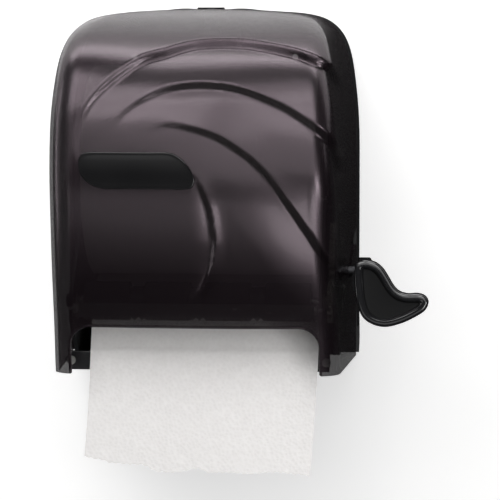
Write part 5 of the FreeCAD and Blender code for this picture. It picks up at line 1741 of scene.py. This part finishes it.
@dataclass
class Studio:
    """The wall, the floor, the lamps and the camera. The lamps marked `off_wall` don't light the wall."""

    paints: Paints
    wall_gap: float = 0.0006
    reach: float = 3.0
    floor_level: float = -1.15
    turn: float = 5.0
    tilt: float = 5.0
    camera_place: Point3 = (0.2574, -2.5693, 0.1452)
    lens: float = 199.3
    lamps: tuple[Lamp, ...] = (
        Lamp("wide_front", (0.3, -4.5, 1.6), (0.0, 0.0, 0.0), 5.0, 3.5, 79.0),
        Lamp("left_key", (-0.8, -2.0, 1.7), (0.0, -0.1, 0.0), 1.4, 1.4, 21.0),
        Lamp("right_key", (0.9, -2.0, 1.6), (0.0, -0.1, 0.0), 1.4, 1.4, 17.0, True),
        Lamp("right_front", (1.6, -2.2, 0.3), (0.0, 0.0, 0.0), 1.0, 1.8, 3.5, True),
        Lamp("low_right", (1.5, -1.8, -0.3), (0.0, 0.0, -0.05), 0.6, 0.5, 9.0, True),
        Lamp("table_right", (1.1, -2.2, -0.8), (0.0, 0.0, -0.05), 0.9, 0.5, 7.0, True),
        Lamp("table_front", (0.0, -2.4, -0.9), (0.0, 0.0, 0.0), 2.4, 0.6, 4.0),
        Lamp("high_front", (0.0, -1.2, 1.5), (0.0, -0.1, 0.0), 1.6, 0.6, 6.0),
        Lamp("overhead", (0.0, -0.13, 0.8), (0.0, -0.131, 0.0), 1.2, 0.25, 4.5),
        Lamp("left_edge", (-1.5, -0.35, 0.2), (0.0, -0.12, 0.0), 0.3, 1.4, 3.5),
    )
    sky: float = 0.02

    def build(self) -> None:
        """Sets up everything round the object."""
        unlit = self._backdrop()
        self._camera()
        for lamp in self.lamps:
            made = lamp.make()
            if lamp.off_wall:
                made.light_linking.receiver_collection = unlit
        world = bpy.data.worlds.new("studio_air")
        world.use_nodes = True
        tree = world.node_tree
        background = tree.nodes["Background"]
        background.inputs["Color"].default_value = (1.0, 1.0, 1.0, 1.0)
        path = tree.nodes.new("ShaderNodeLightPath")
        strength = tree.nodes.new("ShaderNodeMath")
        strength.operation = "MAXIMUM"
        strength.inputs[1].default_value = self.sky
        tree.links.new(path.outputs["Is Camera Ray"], strength.inputs[0])
        tree.links.new(strength.outputs[0], background.inputs["Strength"])
        bpy.context.scene.world = world
        bpy.context.scene.view_settings.view_transform = "Standard"

    def _backdrop(self) -> bpy.types.Collection:
        """A white wall behind the object and a pale floor well below it.

        Returns:
            What the lamps marked off the wall leave unlit, which is the wall.
        """
        backdrop = self._square("studio_wall", Finish.WALL, Vector((0, -1, 0)), lambda co: Vector(
            (co.x, self.wall_gap, co.y + self.reach + self.floor_level)))
        floor = self._square("studio_floor", Finish.FLOOR, Vector((0, 0, 1)), lambda co: Vector(
            (co.x, co.y - self.reach + self.wall_gap, self.floor_level)))
        unlit = bpy.data.collections.new("unlit_by_some_lamps")
        unlit.objects.link(backdrop)
        unlit.collection_objects[0].light_linking.link_state = "EXCLUDE"
        return unlit

    def _square(self, name: str, finish: Finish, facing: Vector,
                laid: Callable[[Vector], Vector]) -> bpy.types.Object:
        """One large flat square of the stage.

        Args:
            name: Its name.
            finish: Its paint.
            facing: Which way it looks.
            laid: Lays a corner of a level square in its place.

        Returns:
            The square.
        """
        piece = Piece(name, self.paints, finish)
        for vert in bmesh.ops.create_grid(piece.bm, x_segments=1, y_segments=1, size=self.reach)["verts"]:
            vert.co = laid(vert.co)
        piece.bm.normal_update()
        if next(iter(piece.bm.faces)).normal.dot(facing) < 0:
            bmesh.ops.reverse_faces(piece.bm, faces=piece.bm.faces[:])
        return piece.settle("")

    def _camera(self) -> None:
        """The camera at the photograph's angle."""
        camera = bpy.data.objects.new("camera", bpy.data.cameras.new("camera"))
        camera.data.lens = self.lens
        camera.data.sensor_width = 36.0
        camera.location = self.camera_place
        turn, tilt = math.radians(self.turn), math.radians(self.tilt)
        ahead = Vector((-math.sin(turn) * math.cos(tilt), math.cos(turn) * math.cos(tilt), -math.sin(tilt)))
        camera.rotation_euler = ahead.to_track_quat("-Z", "Y").to_euler()
        bpy.context.scene.collection.objects.link(camera)
        bpy.context.scene.camera = camera


# ---------------------------------------------------------------- everything in order

WAVES = (
    Wave((
        (-93, 179), (-98, 191), (-100, 206), (-97, 223), (-87, 242), (-70, 260), (-45, 278), (-23, 285),
        (3, 292), (40, 293), (69, 289), (91, 284), (108, 278), (128, 271), (160, 263), (195, 256), (230, 250),
    )),
    Wave((
        (-73, 213), (-62, 228), (-45, 242), (-18, 254), (12, 257), (43, 253), (77, 240), (96, 229),
        (111, 219), (126, 209), (155, 193), (188, 183), (220, 177),
    ), drop=0.0044),
    Wave((
        (-44, 215), (-20, 223), (2, 220), (24, 213), (44, 201), (58, 190), (72, 175), (90, 149), (110, 119),
        (125, 99), (145, 85), (170, 77), (195, 73),
    )),
    Wave((
        (2, 184), (12, 168), (19, 149), (22, 127), (22, 115), (17, 90), (6, 73), (0, 64),
    ), crest=0.0020, bed=0.0024, outer_run=0.012, inner_run=0.016, drop=0.0046, fade_out=0.35),
)


def dress(frame: dict[str, Any], paints: Paints) -> None:
    """Gives every carried-over solid its finish.

    Args:
        paints: Where the materials come from.
    """
    for finish, names in CARRIED_OVER.items():
        for name in names:
            mesh = frame["nodes"][name].data
            mesh.materials.clear()
            mesh.materials.append(paints.of(finish))


def main() -> None:
    """Builds the dressed dispenser."""
    logging.basicConfig(level=logging.INFO, format="%(message)s")
    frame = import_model()
    paints = Paints()
    form = CaseForm()
    Studio(paints).build()
    dress(frame, paints)
    Cover(form, WaveField(WAVES), paints).build()
    Badge(form, paints).build()
    Lever(paints).build()
    Paper(paints).build()


if __name__ == "__main__":
    main()
